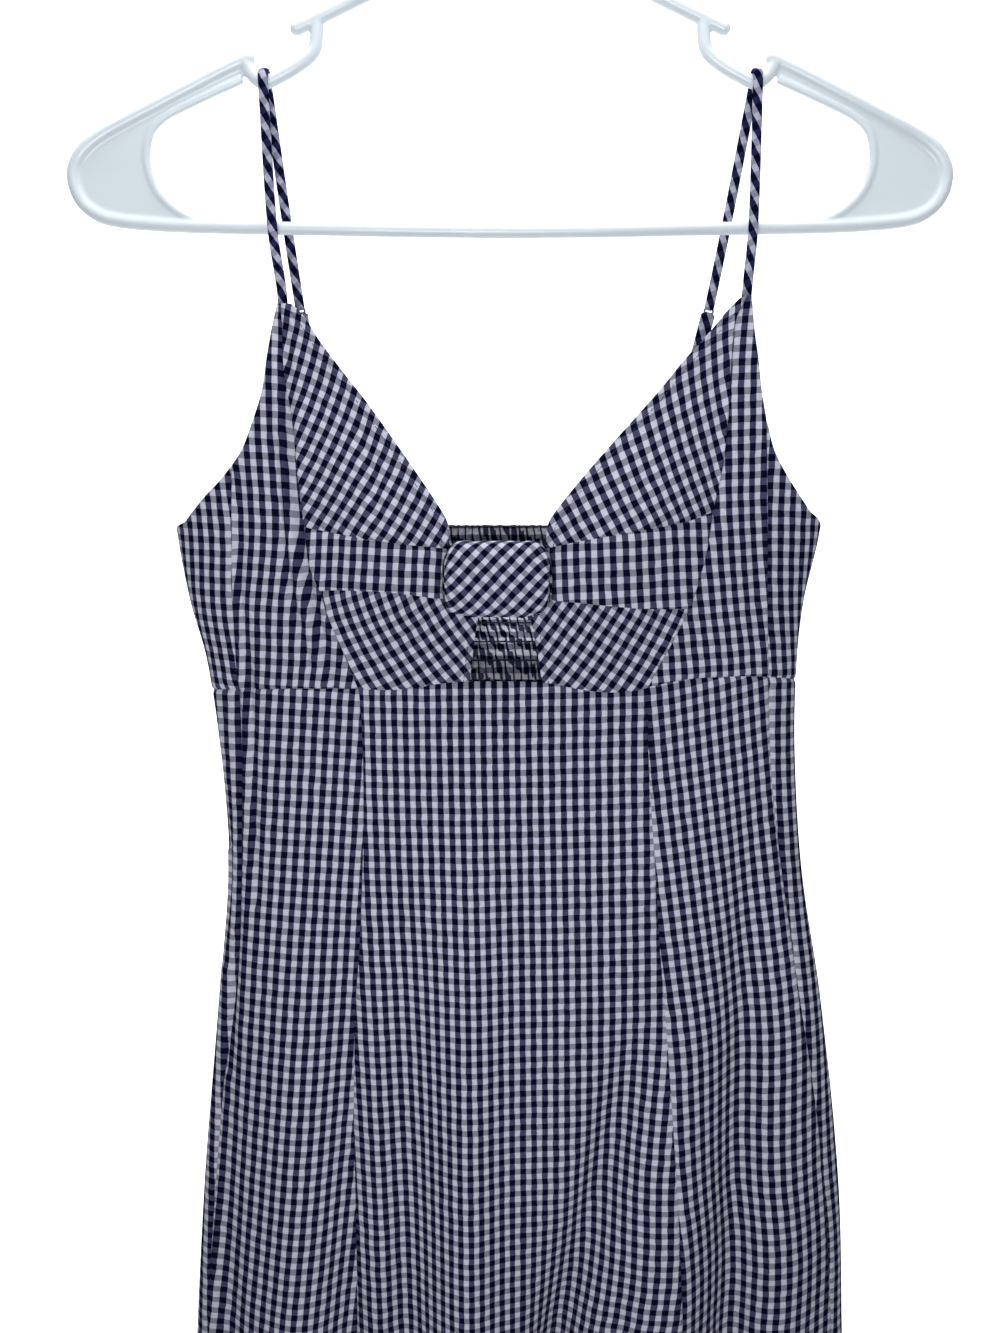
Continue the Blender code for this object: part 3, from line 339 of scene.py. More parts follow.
def rounded(wave, power):
    # A cosine or sine bent towards a square's, or back, with its sign kept
    return np.sign(wave) * np.abs(wave) ** power


rings = np.array(clothForm["rings"])


def ringAt(z):
    left, right, front, back = (smoothAt(-rings[:, 0], rings[:, column], -z) for column in range(1, 5))
    return (left + right) / 2, (right - left) / 2, front, back


def turnOf(x, z, behind=False):
    # How far round the form a place lies, from 0 at the left edge to 0.5 at the right edge
    middle, half, _, _ = ringAt(z)
    share = np.clip((x - middle) / half, -1, 1)
    turn = np.arccos(-rounded(share, clothForm["ringPower"] / 2)) / (2 * np.pi)
    return -turn if behind else turn


def foldDepth(folds, x, z):
    total = np.zeros_like(x)
    for startX, startZ, endX, endZ, depth, width in folds:
        runX, runZ = endX - startX, endZ - startZ
        along = np.clip(((x - startX) * runX + (z - startZ) * runZ) / (runX**2 + runZ**2), 0, 1)
        away = np.hypot(x - startX - along * runX, z - startZ - along * runZ)
        total += depth * (1 - (1 - along) ** clothForm["foldPower"]) * np.exp(-((away / width) ** 2))
    return total


def clothPoint(turn, z):
    # The outer face of the cloth: the CAD's form with the scene's own folds
    turn, z = np.broadcast_arrays(np.asarray(turn, float), np.asarray(z, float))
    middle, half, front, back = ringAt(z)
    cosine, sine = np.cos(2 * np.pi * turn), np.sin(2 * np.pi * turn)
    power = 2 / clothForm["ringPower"]
    x = middle - half * rounded(cosine, power)
    deep = np.abs(sine) ** power
    inFront = sine > 0
    swell = np.where(inFront, -foldDepth(clothForm["frontFolds"], x, z), -foldDepth(clothForm["backFolds"], x, z))
    for moundX, moundZ, height, wide, tall in clothForm["mounds"]:
        spot = ((x - moundX) / wide) ** 2 + ((z - moundZ) / tall) ** 2
        swell = swell + np.where(inFront, height * np.exp(-spot), 0)
    y = np.where(inFront, -front, back) * deep
    y = y + np.where(inFront, -1, 1) * swell * np.minimum(1, deep / clothForm["sideShare"])
    return np.stack([x, y, z], -1)


def clothNormal(turn, z):
    step = clothForm["normalStep"]
    across = clothPoint(turn + step, z) - clothPoint(turn - step, z)
    down = clothPoint(turn, z - step) - clothPoint(turn, z + step)
    return unit(np.cross(down, across))


# The form laid out flat: how far each place lies round from the middle of the front, and down
flatForm = {"turns": (-0.62, 1.1201), "turnStep": 0.0025, "frontMiddle": 0.25,
            "levels": (0.252, 1.3081), "levelStep": 0.004, "waistLevel": 0.448}
flatTurns = np.arange(*flatForm["turns"], flatForm["turnStep"])
flatLevels = np.arange(*flatForm["levels"], flatForm["levelStep"])
flatPoints = clothPoint(flatTurns[None, :], -flatLevels[:, None])
flatAround, flatDown = runningLength(flatPoints, 1), runningLength(flatPoints, 0)
flatAround -= flatAround[:, [int(np.argmin(np.abs(flatTurns - flatForm["frontMiddle"])))]]
flatDown -= flatDown[[int(np.argmin(np.abs(flatLevels - flatForm["waistLevel"])))], :]


def laidFlat(turn, z):
    across = np.clip((turn - flatTurns[0]) / flatForm["turnStep"], 0, len(flatTurns) - 1.001)
    down = np.clip((-z - flatLevels[0]) / flatForm["levelStep"], 0, len(flatLevels) - 1.001)
    column, row = across.astype(int), down.astype(int)
    a, b = across - column, down - row
    found = []
    for table in (flatAround, flatDown):
        upper = table[row, column] * (1 - a) + table[row, column + 1] * a
        lower = table[row + 1, column] * (1 - a) + table[row + 1, column + 1] * a
        found.append(upper * (1 - b) + lower * b)
    return found[0], found[1]


# Small creases that the CAD leaves out: points (x, z), how deep, how wide. A ridge is below 0.
creases = (
    # tucks beside the left cup
    (((-0.106, -0.275), (-0.1035, -0.345), (-0.0985, -0.385), (-0.093, -0.412), (-0.086, -0.447)), 0.004, 0.0024),
    (((-0.1105, -0.29), (-0.1085, -0.345), (-0.1035, -0.385), (-0.0985, -0.412), (-0.093, -0.447)), -0.0018, 0.003),
    (((-0.111, -0.33), (-0.1085, -0.37), (-0.104, -0.405), (-0.0975, -0.44)), 0.0028, 0.0018),
    # loose cloth at the left side
    (((-0.129, -0.345), (-0.131, -0.4), (-0.129, -0.45), (-0.13, -0.56)), 0.0028, 0.0026),
    (((-0.1365, -0.45), (-0.139, -0.5), (-0.143, -0.58), (-0.15, -0.66)), 0.0036, 0.0028),
    (((-0.144, -0.45), (-0.1455, -0.52), (-0.15, -0.6)), 0.0026, 0.0024),
    # pleat in the left lower cup, below the knot
    (((-0.033, -0.405), (-0.042, -0.414), (-0.053, -0.424)), 0.0022, 0.0026),
    (((-0.036, -0.402), (-0.047, -0.408), (-0.06, -0.412)), -0.0012, 0.004),
    # wrinkles on the upper left cup
    (((-0.07, -0.322), (-0.064, -0.345), (-0.061, -0.368)), 0.0026, 0.0036),
    (((-0.059, -0.33), (-0.054, -0.35), (-0.05, -0.372)), 0.002, 0.003),
    (((0.066, -0.335), (0.06, -0.35), (0.056, -0.368)), 0.0008, 0.005),
    # soft folds from the knot into the bands
    (((-0.033, -0.386), (-0.048, -0.385), (-0.064, -0.386)), 0.0011, 0.003),
    (((0.02, -0.394), (0.038, -0.395), (0.052, -0.397)), 0.0009, 0.003),
    # right side front, beside the cup
    (((0.101, -0.3), (0.0985, -0.35), (0.0945, -0.385), (0.088, -0.412)), 0.0016, 0.0036),
    (((0.118, -0.33), (0.119, -0.38), (0.12, -0.44)), 0.001, 0.0036),
)


creaseFade = {"starts": 0.08, "runs": 0.84, "power": 0.6}


def creaseDepth(x, z):
    total = np.zeros_like(x)
    for path, depth, width in creases:
        best = np.full(x.shape, 1e9)
        fade = np.zeros_like(x)
        runs = [math.dist(a, b) for a, b in zip(path, path[1:])]
        gone = 0.0
        for (startX, startZ), (endX, endZ), run in zip(path, path[1:], runs):
            along = np.clip(((x - startX) * (endX - startX) + (z - startZ) * (endZ - startZ)) / run**2, 0, 1)
            away = np.hypot(x - startX - along * (endX - startX), z - startZ - along * (endZ - startZ))
            share = creaseFade["starts"] + creaseFade["runs"] * (gone + along * run) / sum(runs)
            nearer = away < best
            fade = np.where(nearer, np.sin(np.pi * np.clip(share, 0, 1)) ** creaseFade["power"], fade)
            best = np.minimum(best, away)
            gone += run
        total += depth * fade * np.exp(-((best / width) ** 2))
    return total


def onForm(places):
    turn, z = places[..., 0], places[..., 1]
    return turn, z, clothPoint(turn, z), clothNormal(turn, z)


def creaseRise(turn, z, points):
    return np.where(np.sin(2 * np.pi * turn) > 0, -creaseDepth(points[..., 0], z), 0)


def alongPlaces(places, behind=0):
    # An edge as a function from shares of its length to turns and heights
    spots = np.array(places, float)
    lengths = np.concatenate([[0], np.cumsum(np.hypot(*np.diff(spots, axis=0).T))])

    def edge(shares):
        x = smoothAt(lengths, spots[:, 0], lengths[-1] * shares)
        z = smoothAt(lengths, spots[:, 1], lengths[-1] * shares)
        turn = turnOf(x, z, behind != 0)
        return np.stack([turn + (1 if behind > 0 else 0), z], -1)
    return edge


def alongWaist(first, last):
    spots = np.array(waistline)

    def edge(shares):
        x = first[0] + (last[0] - first[0]) * shares
        z = smoothAt(spots[:, 0], spots[:, 1], x)
        return np.stack([turnOf(x, z), z], -1)
    return edge


def straightEdge(first, last):
    def edge(shares):
        return np.outer(1 - shares, first) + np.outer(shares, last)
    return edge


def spotOn(edge, share):
    return edge(np.array([float(share)]))[0]


def bridge(first, last, share):
    # The straight edge from one edge to the other, that share of the way along both
    return straightEdge(spotOn(first, share), spotOn(last, share))


def joinedEdge(*runs):
    # Edges end to end, each with the share of the whole that it takes
    ends = np.cumsum([0.0] + [share for _, share in runs])
    ends /= ends[-1]

    def edge(shares):
        spots = np.zeros((len(shares), 2))
        for (run, _), low, high in zip(runs, ends, ends[1:]):
            inside = (shares >= low - 1e-12) & (shares <= high + 1e-12)
            if inside.any():
                spots[inside] = run(np.clip((shares[inside] - low) / (high - low), 0, 1))
        return spots
    return edge


def filledIn(left, right, top, bottom, u, v):
    a, b = left(v)[:, None, :], right(v)[:, None, :]
    c, d = top(u)[None, :, :], bottom(u)[None, :, :]
    across, down = u[None, :, None], v[:, None, None]
    upper = (1 - across) * a[:1] + across * b[:1]
    lower = (1 - across) * a[-1:] + across * b[-1:]
    return (1 - across) * a + across * b + (1 - down) * c + down * d - (1 - down) * upper - down * lower


seamStops = {"near": (0, 0.0006, 0.0013, 0.0021, 0.0031, 0.0044), "shortest": 0.016, "shortStep": 0.0012}


def stops(length, step):
    # Shares of a length, close together near both ends, where the seams turn in
    near = np.array(seamStops["near"])
    if length < seamStops["shortest"]:
        return np.linspace(0, 1, max(4, int(length / seamStops["shortStep"])))
    count = max(2, int(round((length - 2 * near[-1]) / step)))
    middle = np.linspace(near[-1], length - near[-1], count + 1)[1:-1]
    return np.concatenate([near, middle, (length - near)[::-1]]) / length


# Yarn-dyed cotton gingham: white and navy yarns woven in equal stripes both ways. The lengthwise yarns
# lie uppermost, so a navy one over white reads darker than a white one over navy.
gingham = {
    "acrossPeriod": 0.0057,
    "downPeriod": 0.0064,
    "navyShareAcross": 0.53,
    "navyShareDown": 0.5,
    "navyOnNavy": "#0A0D25",
    "navyOnWhite": "#444360",
    "whiteOnNavy": "#828494",
    "whiteOnWhite": "#C4C5D6",
    "stripeBlur": 0.016,
    "drift": (0.2, 0.2, 0.0),  # in checks, how far the yarns wander
    "fray": 0.035,
    "yarnsPerPeriod": 14,  # the real cloth has about 20, too fine to show here
    "thickness": 0.0005,
    "sharpDegrees": 50,
}


def whiteStripes(tree, coordinate, navyShare):
    # 1 on a white stripe and 0 on a navy one
    wave = addNode(tree, "ShaderNodeMath", {1: 0.5}, {0: coordinate}, operation="PINGPONG")
    half, blur = navyShare / 2, gingham["stripeBlur"]
    mask = addNode(tree, "ShaderNodeMapRange", {"From Min": half - blur, "From Max": half + blur},
                   {"Value": wave.outputs[0]}, interpolation_type="SMOOTHSTEP")
    return mask.outputs[0]


def ginghamMaterial(name, sizes):
    material, tree, shader = newMaterial(name)
    # The UV map counts checks: one whole number for each repeat of the stripes
    checks = addNode(tree, "ShaderNodeUVMap", uv_map="grain").outputs[0]
    # Yarns aren't laid quite straight
    drift = addNode(tree, "ShaderNodeTexNoise", {"Scale": 0.8, "Detail": 2.0, "Roughness": 0.6}, {"Vector": checks})
    centred = addNode(tree, "ShaderNodeVectorMath", {1: (0.5, 0.5, 0.5)}, {0: drift.outputs["Color"]},
                      operation="SUBTRACT")
    drifted = addNode(tree, "ShaderNodeVectorMath", {1: sizes["drift"], 2: (0.0, 0.0, 0.0)},
                      {0: centred.outputs[0], 2: checks}, operation="MULTIPLY_ADD")
    split = addNode(tree, "ShaderNodeSeparateXYZ", links={0: drifted.outputs[0]})
    across, down = split.outputs[0], split.outputs[1]

    # Thick and thin places along each yarn, which also fray the stripes' edges
    slubs = []
    for stretch in ((1.2, 26.0, 1.0), (26.0, 1.2, 1.0)):
        mapped = addNode(tree, "ShaderNodeMapping", {"Scale": stretch}, {"Vector": drifted.outputs[0]})
        noise = addNode(tree, "ShaderNodeTexNoise", {"Scale": 1.0, "Detail": 3.0, "Roughness": 0.65},
                        {"Vector": mapped.outputs[0]})
        slubs.append(noise.outputs["Fac"])
    frayed = []
    for coordinate, slub in ((across, slubs[0]), (down, slubs[1])):
        offset = addNode(tree, "ShaderNodeMapRange", {"To Min": -sizes["fray"], "To Max": sizes["fray"]},
                         {"Value": slub})
        frayed.append(addNode(tree, "ShaderNodeMath", links={0: coordinate, 1: offset.outputs[0]}).outputs[0])
    lengthwise = whiteStripes(tree, frayed[0], sizes["navyShareAcross"])
    crosswise = whiteStripes(tree, frayed[1], sizes["navyShareDown"])
    yarnColours = [addNode(tree, "ShaderNodeMix", {6: srgb(sizes["navy" + under]), 7: srgb(sizes["white" + under])},
                           {0: lengthwise}, data_type="RGBA").outputs[2] for under in ("OnNavy", "OnWhite")]
    colour = addNode(tree, "ShaderNodeMix", links={0: crosswise, 6: yarnColours[0], 7: yarnColours[1]},
                     data_type="RGBA").outputs[2]

    # Plain weave: the yarns pass over and under each other in turn. The colour is made lighter on the yarns' crowns
    # and darker between them, in step with their bump: painted highlight and painted shade.
    weave = []
    for coordinate in (across, down):
        turned = addNode(tree, "ShaderNodeMath", {1: math.pi * sizes["yarnsPerPeriod"]}, {0: coordinate},
                         operation="MULTIPLY")
        weave.append(addNode(tree, "ShaderNodeMath", links={0: turned.outputs[0]}, operation="SINE").outputs[0])
    crossing = addNode(tree, "ShaderNodeMath", links={0: weave[0], 1: weave[1]}, operation="MULTIPLY")
    paintedWeaveShade = addNode(tree, "ShaderNodeMapRange",
                    {"From Min": -1.0, "From Max": 1.0, "To Min": 0.86, "To Max": 1.14},
                    {"Value": crossing.outputs[0]})
    yarnTone = addNode(tree, "ShaderNodeMath", links={0: slubs[0], 1: slubs[1]})
    tone = addNode(tree, "ShaderNodeMapRange",
                   {"From Min": 0.6, "From Max": 1.4, "To Min": 0.8, "To Max": 1.2},
                   {"Value": yarnTone.outputs[0]})
    # Painted weave shade, times the yarns' own uneven tone
    weaveShadeAndSlubTone = addNode(tree, "ShaderNodeMath", links={0: paintedWeaveShade.outputs[0], 1: tone.outputs[0]}, operation="MULTIPLY")
    weaveShadedColour = addNode(tree, "ShaderNodeMix", {0: 1.0}, {6: colour, 7: weaveShadeAndSlubTone.outputs[0]}, data_type="RGBA",
                    blend_type="MULTIPLY")
    tree.links.new(weaveShadedColour.outputs[2], shader.inputs["Base Color"])

    # Fine puckers, as in washed cotton, and the yarns' own relief
    pucker = addNode(tree, "ShaderNodeTexNoise", {"Scale": 1.1, "Detail": 4.0, "Roughness": 0.55},
                     {"Vector": checks})
    puckerBump = addNode(tree, "ShaderNodeBump", {"Strength": 0.85, "Distance": 0.0013},
                         {"Height": pucker.outputs["Fac"]})
    yarnBump = addNode(tree, "ShaderNodeBump", {"Strength": 0.35, "Distance": 0.00012},
                       {"Height": crossing.outputs[0], "Normal": puckerBump.outputs["Normal"]})
    tree.links.new(yarnBump.outputs["Normal"], shader.inputs["Normal"])
    rough = addNode(tree, "ShaderNodeMapRange", {"To Min": 0.78, "To Max": 0.92}, {"Value": slubs[0]})
    tree.links.new(rough.outputs[0], shader.inputs["Roughness"])
    shader.inputs["Specular IOR Level"].default_value = 0.0
    return material


ginghamCotton = ginghamMaterial("yarnDyedCottonGingham", gingham)


def frontStep(x, z, degrees, millimetres):
    # A step seen from the front, as a step on the form laid flat
    turned = math.radians(degrees)
    dx, dz = math.cos(turned) * millimetres / 2000, -math.sin(turned) * millimetres / 2000
    here, there = (laidFlat(np.array([float(turnOf(x + way * dx, z + way * dz))]), np.array([z + way * dz]))
                   for way in (-1, 1))
    return np.array([there[0][0] - here[0][0], there[1][0] - here[1][0]])


def grainTerms(a, b):
    one, none = np.ones_like(a), np.zeros_like(a)
    values = np.stack([a, b, a * a, a * b, b * b, a**3, a * a * b, a * b * b, b**3], -1)
    slopeA = np.stack([one, none, 2 * a, b, none, 3 * a * a, 2 * a * b, b * b, none], -1)
    slopeB = np.stack([none, one, none, a, 2 * b, none, a * a, 2 * a * b, 3 * b * b], -1)
    return values, slopeA, slopeB


grainFit = {"scale": 0.1, "cost": [1e-5] * 2 + [0.12] * 3 + [0.3] * 4}


def grainFromAnchors(anchors, turn, z):
    # Counts of checks across and down, so that the yarns run and repeat as the anchors say
    scale, spots, wanted = grainFit["scale"], [], []
    for x, height, crosswise, acrossMm, lengthwise, downMm in anchors:
        flat = laidFlat(np.array([float(turnOf(x, height))]), np.array([height]))
        spots.append((flat[0][0] / scale, flat[1][0] / scale))
        periods = np.stack([frontStep(x, height, crosswise, acrossMm), frontStep(x, height, lengthwise, downMm)], 1)
        wanted.append(np.linalg.inv(periods) * scale)
    spots, wanted = np.array(spots), np.array(wanted)
    middle = spots.mean(axis=0)
    _, slopeA, slopeB = grainTerms(*(spots - middle).T)
    # The more a term bends the yarns, the more it costs
    rows = np.concatenate([slopeA, slopeB, np.diag(grainFit["cost"])])
    around, down = laidFlat(turn, z)
    values, _, _ = grainTerms(around / scale - middle[0], down / scale - middle[1])
    counts = []
    for direction in (0, 1):
        goal = np.concatenate([wanted[:, direction, 0], wanted[:, direction, 1], np.zeros(9)])
        terms = np.linalg.lstsq(rows, goal, rcond=None)[0]
        counts.append(values @ terms)
    return np.stack(counts, -1)


def straightGrain(turn, z, fullness=1.0):
    around, down = laidFlat(turn, z)
    return np.stack([around * fullness / gingham["acrossPeriod"], down / gingham["downPeriod"]], -1)


def edgeDistances(points):
    rows, columns = runningLength(points, 1), runningLength(points, 0)
    return {"left": rows, "right": rows[:, -1:] - rows, "top": columns, "bottom": columns[-1:, :] - columns}


# How an edge is finished: how far it turns in (below 0) or stands up, and over what width
edgeFinishes = {
    "seam": ((-0.0009, 0.0026),),
    "deepSeam": ((-0.0014, 0.0034),),
    "raised": ((0.0011, 0.007), (-0.0012, 0.0011)),
    "turned": ((0.0003, 0.006), (-0.0006, 0.001)),
    "plain": (),
}


def plainMesh(piece):
    # The object's evaluated mesh in place of its own, with no modifier left
    bpy.context.view_layer.update()
    graph = bpy.context.evaluated_depsgraph_get()
    data = bpy.data.meshes.new_from_object(piece.evaluated_get(graph), depsgraph=graph)
    piece.modifiers.clear()
    old = piece.data
    piece.data = data
    if isinstance(old, bpy.types.Mesh):
        bpy.data.meshes.remove(old)
    return piece


def sheetMesh(name, points, checks, material, outward):
    rows, columns = points.shape[:2]
    index = np.arange(rows * columns).reshape(rows, columns)
    quads = np.stack([index[:-1, :-1], index[1:, :-1], index[1:, 1:], index[:-1, 1:]], -1).reshape(-1, 4)
    corner = points[:-1, :-1]
    facing = np.cross(points[1:, :-1] - corner, points[:-1, 1:] - corner)
    if (facing * outward[:-1, :-1]).sum() < 0:
        quads = quads[:, ::-1]
    data = bpy.data.meshes.new(name)
    data.from_pydata(points.reshape(-1, 3).tolist(), [], quads.tolist())
    layer = data.uv_layers.new(name="grain")
    corners = np.empty(len(data.loops), np.int32)
    data.loops.foreach_get("vertex_index", corners)
    layer.data.foreach_set("uv", checks.reshape(-1, 2)[corners].astype(np.float32).ravel())
    data.materials.append(material)
    piece = addObject(name, data)
    wall = piece.modifiers.new("cloth", "SOLIDIFY")
    wall.thickness = gingham["thickness"]
    wall.offset = -1
    wall.use_even_offset = False
    plainMesh(piece)
    piece.data.shade_smooth()
    piece.data.set_sharp_from_angle(angle=math.radians(gingham["sharpDegrees"]))
    return piece


cutSizes = {}


def declareCloth(piece, nodes, held, hangsFrom, width, length, fullness=1.0):
    # The size that its shown cloth was cut to, between its seams
    flatWidth, flatLength = round(width * fullness, 3), round(length, 3)
    surface = sum(face.area for face in piece.data.polygons)
    cutArea = round(min(surface / 2, flatWidth * flatLength), 5)
    cutSizes[piece.name] = (flatWidth, flatLength, cutArea)
    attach(piece, "root")
    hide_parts(*nodes)


def clothPanel(name, node, edges, finishes, step, anchors=None, hangsFrom=(), lift=None):
    coarse = np.linspace(0, 1, 25)
    width, length = widestAndLongest(onForm(filledIn(*edges, coarse, coarse))[2])
    u, v = stops(width, step), stops(length, step)
    turn, z, points, normals = onForm(filledIn(*edges, u, v))
    rise = creaseRise(turn, z, points)
    distances = edgeDistances(points)
    for side, finish in zip(("left", "right", "top", "bottom"), finishes):
        for height, reach in edgeFinishes[finish]:
            rise = rise + height * np.clip(1 - distances[side] / reach, 0, 1) ** 2
    if lift:
        rise = rise + lift(u[None, :], v[:, None])
    checks = grainFromAnchors(anchors, turn, z) if anchors else straightGrain(turn, z)
    points = points + normals * rise[..., None]
    piece = sheetMesh(name, points, checks, ginghamCotton, normals)
    declareCloth(piece, [node], "hung", hangsFrom, width, length)


# Where the yarns run, as place x, z, then the way and millimetres to the next check, crosswise and
# lengthwise, as seen from the front. Degrees turn clockwise from +X.
bodice = {
    "step": 0.0026,
    "bandLift": 0.0022,
    "bandLiftStart": 0.15,
    "yarns": {
        "upper_cup": {
            "left": ((-0.0981, -0.2962, 25, 5.62, 107, 6.2), (-0.0885, -0.3217, 28, 5.7, 113, 6.1),
                     (-0.0842, -0.3562, 30, 5.8, 121, 6.2), (-0.058, -0.3559, 34, 5.74, 119, 6.0),
                     (-0.0419, -0.3674, 36, 5.71, 120, 5.9)),
            "right": ((0.105, -0.2961, -23, 5.8, 84, 6.6), (0.0955, -0.3193, -25, 5.8, 76, 6.5),
                      (0.097, -0.3565, -24, 5.8, 68, 6.4), (0.0674, -0.3515, -28, 5.8, 66, 6.4),
                      (0.0439, -0.365, -30, 5.74, 61, 6.4)),
        },
        "bow_band": {
            "left": ((-0.075, -0.3875, 1, 5.66, 94, 6.4), (-0.0491, -0.3906, 4, 5.68, 95, 6.4)),
            "right": ((0.0328, -0.3885, -5, 5.55, 87, 6.5), (0.0755, -0.3897, -2, 6.0, 86, 6.5)),
        },
        "lower_cup": {
            "left": ((-0.0739, -0.4153, -20, 5.63, 70, 6.4), (-0.0549, -0.4225, -29, 5.67, 62, 6.4),
                     (-0.0335, -0.4251, -37, 5.66, 55, 6.3)),
            "right": ((0.0313, -0.4227, 38, 5.57, 123, 6.4), (0.048, -0.4227, 34, 5.66, 120, 6.4),
                      (0.0722, -0.4206, 28, 5.75, 115, 6.4)),
        },
        "side_front_bodice": {
            "left": ((-0.1142, -0.2869, 6, 5.8, 90, 6.6), (-0.1196, -0.3286, 4, 5.85, 91, 6.6),
                     (-0.1208, -0.3851, 2, 5.9, 94, 6.6), (-0.0991, -0.4236, 1, 6.0, 96, 6.6)),
            "right": ((0.1159, -0.2868, -3, 5.9, 93, 6.6), (0.1117, -0.3333, -3, 5.9, 89, 6.6),
                      (0.1104, -0.3851, -3, 5.85, 84, 6.6), (0.1099, -0.4289, -3, 5.82, 81, 6.6)),
        },
        "side_back_bodice": {
            "left": ((-0.1451, -0.3956, 2, 5.6, 93, 6.5),),
            "right": ((0.1374, -0.39, 3, 5.8, 87, 6.5),),
        },
    },
}


def sideEdges(side):
    # Every seam of one side. Those at the back lie at turns below 0 on the left and past 0.5 on the right.
    behind = -1 if side == "left" else 1
    return {name: alongPlaces(places[side], behind if name in ("back", "skirtBack") else 0)
            for name, places in seams.items()}


def backRun(name):
    # Both edges of a back panel, as turns below 0
    return [alongPlaces(seams[name][side], -1) for side in ("left", "right")]


def sideCorner(side):
    # Where the waist meets the outermost line of that side
    return (0.0, waistline[0][1]) if side == "left" else (0.5, waistline[-1][1])


def bandRise(u, v):
    # The band's lower edge hangs loose over the lower cup
    start = bodice["bandLiftStart"]
    return bodice["bandLift"] * v * np.maximum(0, np.sin(np.pi * (start + (1 - start) * u))) ** 0.5


def buildBodice():
    step = bodice["step"]
    for side in ("left", "right"):
        yarns = {node: places[side] for node, places in bodice["yarns"].items()}
        edges = sideEdges(side)
        waist = {name: seams[name][side][-1] for name in ("lowerCup", "keyhole", "frontSide")}
        clothPanel(f"upperCup_{side}", f"upper_cup_{side}",
                   (edges["cup"], edges["neckline"], bridge(edges["cup"], edges["neckline"], 0), edges["bandTop"]),
                   ("raised", "turned", "plain", "seam"), step, yarns["upper_cup"], (f"strap_{side}",))
        clothPanel(f"bowBand_{side}", f"bow_band_{side}",
                   (edges["band"], edges["bandEnd"], edges["bandTop"], edges["bandBottom"]),
                   ("raised", "seam", "seam", "turned"), step, yarns["bow_band"], (f"upper_cup_{side}",), bandRise)
        clothPanel(f"lowerCup_{side}", f"lower_cup_{side}",
                   (edges["lowerCup"], edges["keyhole"],
                    joinedEdge((edges["bandBottom"], 8), (edges["underKnot"], 3)),
                    alongWaist(waist["lowerCup"], waist["keyhole"])),
                   ("raised", "turned", "deepSeam", "seam"), step, yarns["lower_cup"], (f"bow_band_{side}",))
        outer = joinedEdge((edges["armhole"], 8), (edges["frontSide"], 8))
        inner = joinedEdge((edges["cup"], 8), (edges["band"], 3), (edges["lowerCup"], 5))
        clothPanel(f"sideFrontBodice_{side}", f"side_front_bodice_{side}",
                   (outer, inner, bridge(outer, inner, 0), alongWaist(waist["frontSide"], waist["lowerCup"])),
                   ("turned", "deepSeam", "plain", "seam"), step, yarns["side_front_bodice"], (f"strap_{side}",))

        waistCorner = sideCorner(side)
        corner = (waistCorner[0], clothForm["underarmZ"])
        top = joinedEdge((edges["underarm"], 3), (straightEdge(spotOn(edges["underarm"], 1), corner), 1),
                         (straightEdge(corner, spotOn(edges["back"], 0)), 5))
        bottom = joinedEdge((straightEdge(spotOn(edges["frontSide"], 1), waistCorner), 4),
                            (straightEdge(waistCorner, spotOn(edges["back"], 1)), 5))
        clothPanel(f"sideBackBodice_{side}", f"side_back_bodice_{side}",
                   (edges["frontSide"], edges["back"], top, bottom),
                   ("seam", "seam", "turned", "seam"), step, yarns["side_back_bodice"],
                   (f"side_front_bodice_{side}",))


skirt = {
    "step": 0.004,
    "yarns": {
        "centre": ((-0.054, -0.485, 1, 5.5, 90, 6.4), (-0.0023, -0.485, -1, 5.65, 90, 6.4),
                   (0.0505, -0.485, -3, 5.8, 88, 6.3), (-0.0555, -0.5878, 1, 5.55, 87, 6.3),
                   (-0.0022, -0.5878, -1, 5.65, 89, 6.4), (0.0521, -0.5878, -3, 5.7, 90, 6.4),
                   (-0.0575, -0.7213, 0, 5.35, 87, 6.0), (-0.0021, -0.7213, -2, 5.45, 89, 6.2),
                   (0.0544, -0.7213, 0, 5.6, 91, 6.2), (-0.07, -1.05, 0, 5.7, 88, 6.4),
                   (0.08, -1.05, 0, 5.7, 92, 6.4), (-0.08, -1.28, 0, 5.7, 88, 6.4),
                   (0.095, -1.28, 0, 5.7, 91, 6.4)),
        "left": ((-0.119, -0.4701, 1, 6.15, 95, 6.7), (-0.0975, -0.4691, 4, 5.95, 94, 6.7),
                 (-0.1234, -0.592, -1, 6.1, 96, 6.9), (-0.101, -0.59, -4, 6.0, 96, 6.9),
                 (-0.1275, -0.7266, -1, 6.05, 96, 6.8), (-0.1044, -0.724, 1, 5.85, 96, 6.8),
                 (-0.135, -1.05, 0, 5.8, 94, 6.5), (-0.145, -1.28, 0, 5.8, 93, 6.5)),
        "right": ((0.0925, -0.469, -12, 5.9, 85, 6.6), (0.1119, -0.4699, -10, 5.55, 85, 6.5),
                  (0.0947, -0.5465, -8, 5.9, 82, 6.8), (0.1145, -0.5477, -15, 5.3, 84, 6.6),
                  (0.0969, -0.6324, -8, 5.65, 80, 6.9), (0.1174, -0.6345, -18, 5.2, 82, 6.6),
                  (0.0994, -0.7226, -5, 5.7, 83, 6.9), (0.1234, -0.7832, -6, 5.77, 87, 6.6),
                  (0.1345, -0.7279, -9, 5.77, 86, 6.5), (0.12, -1.05, -2, 5.8, 87, 6.5),
                  (0.165, -1.05, -2, 5.8, 87, 6.5), (0.125, -1.28, 0, 5.8, 88, 6.5)),
        "leftBack": ((-0.148, -0.55, -2, 5.8, 95, 6.5), (-0.185, -1.15, 0, 5.8, 94, 6.5)),
        "rightBack": ((0.14, -0.48, 4, 5.8, 86, 6.5), (0.1519, -0.595, 7, 6.0, 84, 6.5),
                      (0.1668, -0.785, 6, 5.9, 87, 6.4), (0.195, -1.15, 0, 5.8, 87, 6.4)),
    },
}


